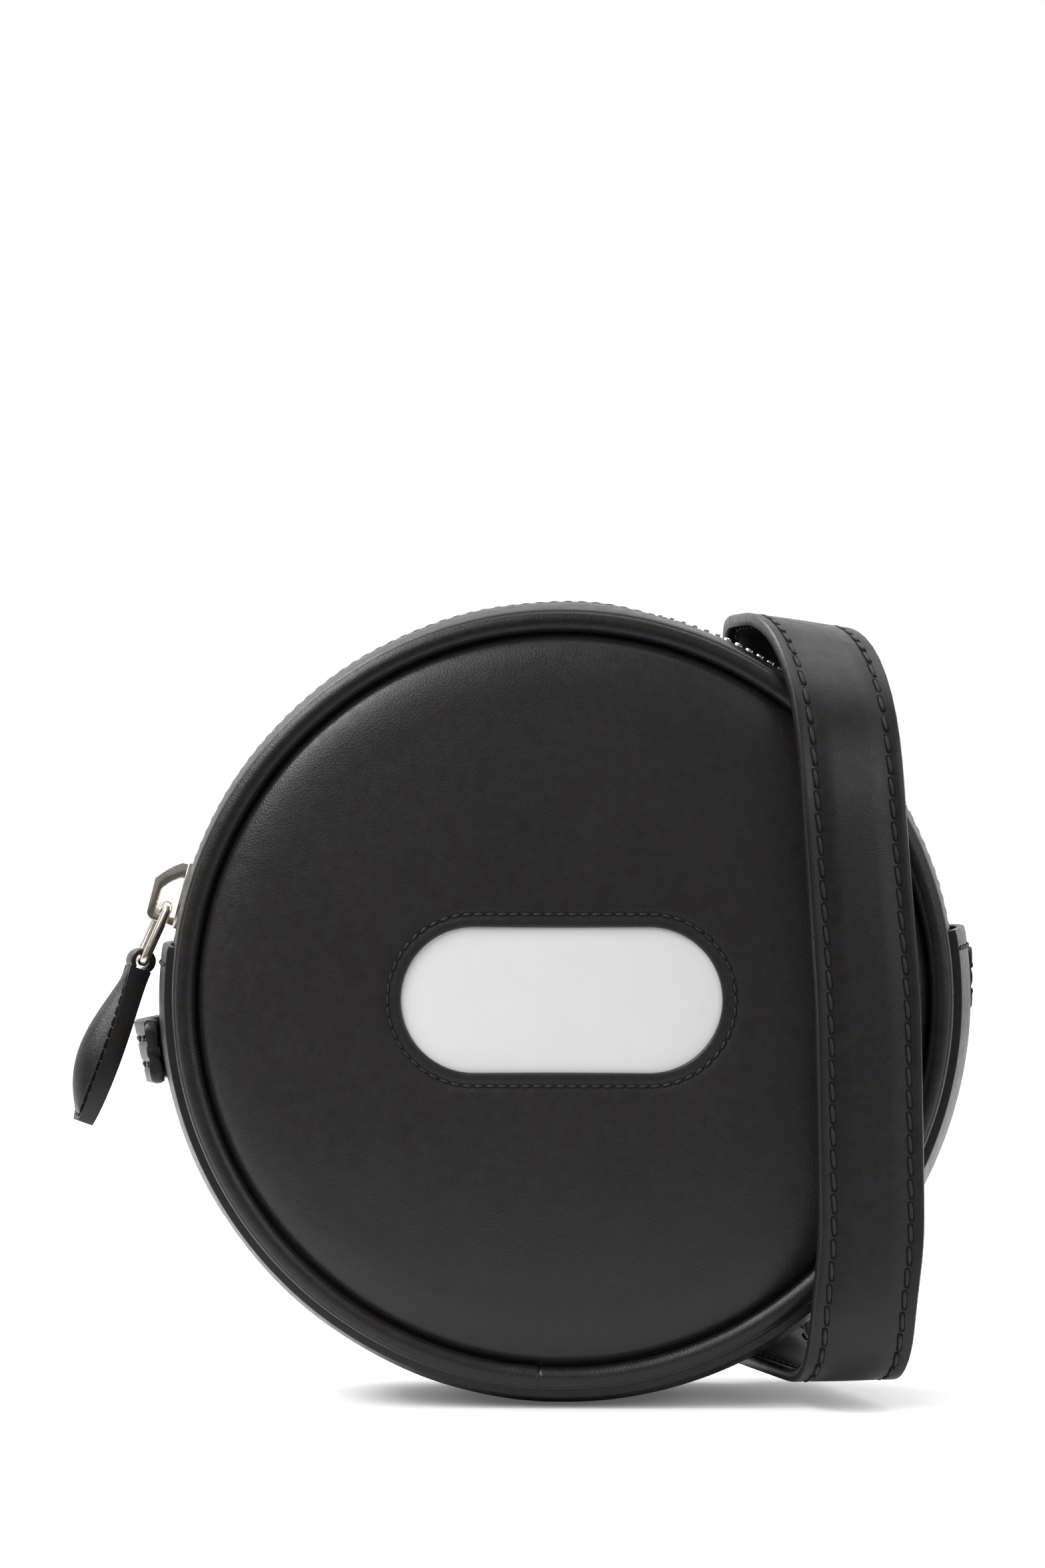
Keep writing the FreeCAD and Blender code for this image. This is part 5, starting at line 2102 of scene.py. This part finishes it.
class RoundBag:
    """The whole bag, piece by piece."""

    ring_pivot = Vector((-83.59954 * MM, 0.0, 102.2249 * MM))
    pull_pivot = Vector((-88.75 * MM, -1.28 * MM, 90.577396 * MM))
    ring_lean = math.radians(24.5)
    ring_turn = math.radians(14.0)
    pull_lean = math.radians(20.2)
    pull_turn = math.radians(17.0)

    def __init__(self) -> None:
        """Make the finishes and the sewing that every piece shares."""
        self.finishes = Finishes()
        self.sewing = Sewing(self.finishes.thread)
        self.fine_sewing = Sewing(self.finishes.thread, pitch=2.4 * MM, width=0.55 * MM)
        self.strap_sewing = Sewing(self.finishes.thread, pitch=4.5 * MM, width=0.85 * MM)

    def faces(self) -> None:
        """Make both faces, the inlay and the piping."""
        leather = self.finishes.leather
        front = FacePanel(Side.FRONT, self.fine_sewing, window=(66.0 * MM, 30.0 * MM))
        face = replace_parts(front.build("front_face"), "front_panel", "front_padding")
        dress(face, Body.BAG, "black_leather", leather)
        front.sew_window("window_stitches")
        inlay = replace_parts(Inlay(front).build("window_inlay"), "face_inlay")
        dress(inlay, Body.BAG, "white_vinyl", self.finishes.vinyl)
        back = FacePanel(Side.BACK, self.sewing, shoulder_rise=4.6 * MM, crown=5.2 * MM, puff=0.7 * MM)
        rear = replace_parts(back.build("back_face"), "back_panel")
        dress(rear, Body.BAG, "black_leather", leather)
        for side, node in ((Side.FRONT, "front_piping"), (Side.BACK, "back_piping")):
            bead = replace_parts(Piping(side).build(f"{node}_bead"), node)
            dress(bead, Body.BAG, "black_leather", self.finishes.shade_painted_trim)

    def gussets(self) -> None:
        """Make the lower gusset and both halves of the zip gusset."""
        leather = self.finishes.shade_painted_trim
        lower = LowerGusset(self.sewing)
        dress(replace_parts(lower.build("gusset_band"), "lower_gusset"), Body.BAG, "black_leather", leather)
        lower.sew_hems("hem_stitches")
        for side, label in ((Side.FRONT, "front"), (Side.BACK, "rear")):
            half = ZipGusset(side, self.sewing)
            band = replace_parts(half.build(f"zip_band_{label}"), f"zip_gusset_{label}")
            dress(band, Body.BAG, "black_leather", leather)
            half.sew_lip(f"zip_stitches_{label}")

    def zip(self) -> None:
        """Make the tapes, the teeth, the slider and the ring."""
        chain = ZipChain(self.finishes)
        for side, label in ((Side.FRONT, "front"), (Side.BACK, "rear")):
            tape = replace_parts(chain.build_tape(f"tape_{label}", side), f"zip_tape_{label}")
            dress(tape, Body.BAG, "zip_tape", self.finishes.tape)
            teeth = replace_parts(chain.build_teeth(f"teeth_{label}", side), f"zip_teeth_{label}")
            dress(teeth, Body.BAG, "nickel_teeth")
        for node, name in (("slider_body", "slider_plates"), ("slider_crown", "slider_bridge")):
            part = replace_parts(polished_copy(node, name, 0.28 * MM, 3), node)
            dress(part, Body.SLIDER, "polished_nickel", self.finishes.nickel)
        wire = Ring(hung(self.ring_pivot, self.ring_lean, self.ring_turn))
        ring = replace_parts(wire.build("ring_wire"), "pull_ring")
        dress(ring, Body.RING, "polished_nickel", self.finishes.nickel)

    def pull(self) -> None:
        """Make the leather pull."""
        pull = Pull(hung(self.pull_pivot, self.pull_lean, self.pull_turn), self.fine_sewing)
        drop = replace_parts(pull.build("pull_drop"), "pull_tab")
        dress(drop, Body.PULL, "black_leather", self.finishes.shade_painted_trim)
        pull.sew("pull_stitches")

    def strap(self) -> None:
        """Make the strap."""
        strap = Strap(self.strap_sewing)
        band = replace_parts(strap.build("strap_band"), "strap")
        dress(band, Body.BAG, "black_leather", self.finishes.strap, self.finishes.edge)
        strap.sew("strap_stitches")

    def hidden_layers(self) -> None:
        """Give the pieces inside the bag, which stay as they are packed, their finishes."""
        groups = (
            (self.finishes.board, ("front_board", "back_board", "gusset_board")),
            (self.finishes.lining, ("front_lining", "back_lining", "gusset_lining", "zip_lining_front",
                                    "zip_lining_rear")),
            (self.finishes.teeth, ("zip_top_stops", "zip_bottom_stop")))
        for material, nodes in groups:
            for node in nodes:
                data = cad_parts[node].data
                data.materials.clear()
                data.materials.append(material)
                LOG.info("%s: kept from the packed model", node)


def main() -> None:
    """Build the studio and the bag."""
    logging.basicConfig(level=logging.INFO, format="%(message)s")
    bpy.context.scene.view_settings.view_transform = "Standard"
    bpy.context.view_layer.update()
    Studio().build()
    bag = RoundBag()
    steps: tuple[Callable[[], None], ...] = (
        bag.strap, bag.faces, bag.gussets, bag.zip, bag.pull, bag.hidden_layers)
    for step in steps:
        step()
    for sewing in (bag.sewing, bag.fine_sewing, bag.strap_sewing):
        sewing.clear()


if __name__ == "__main__":
    main()
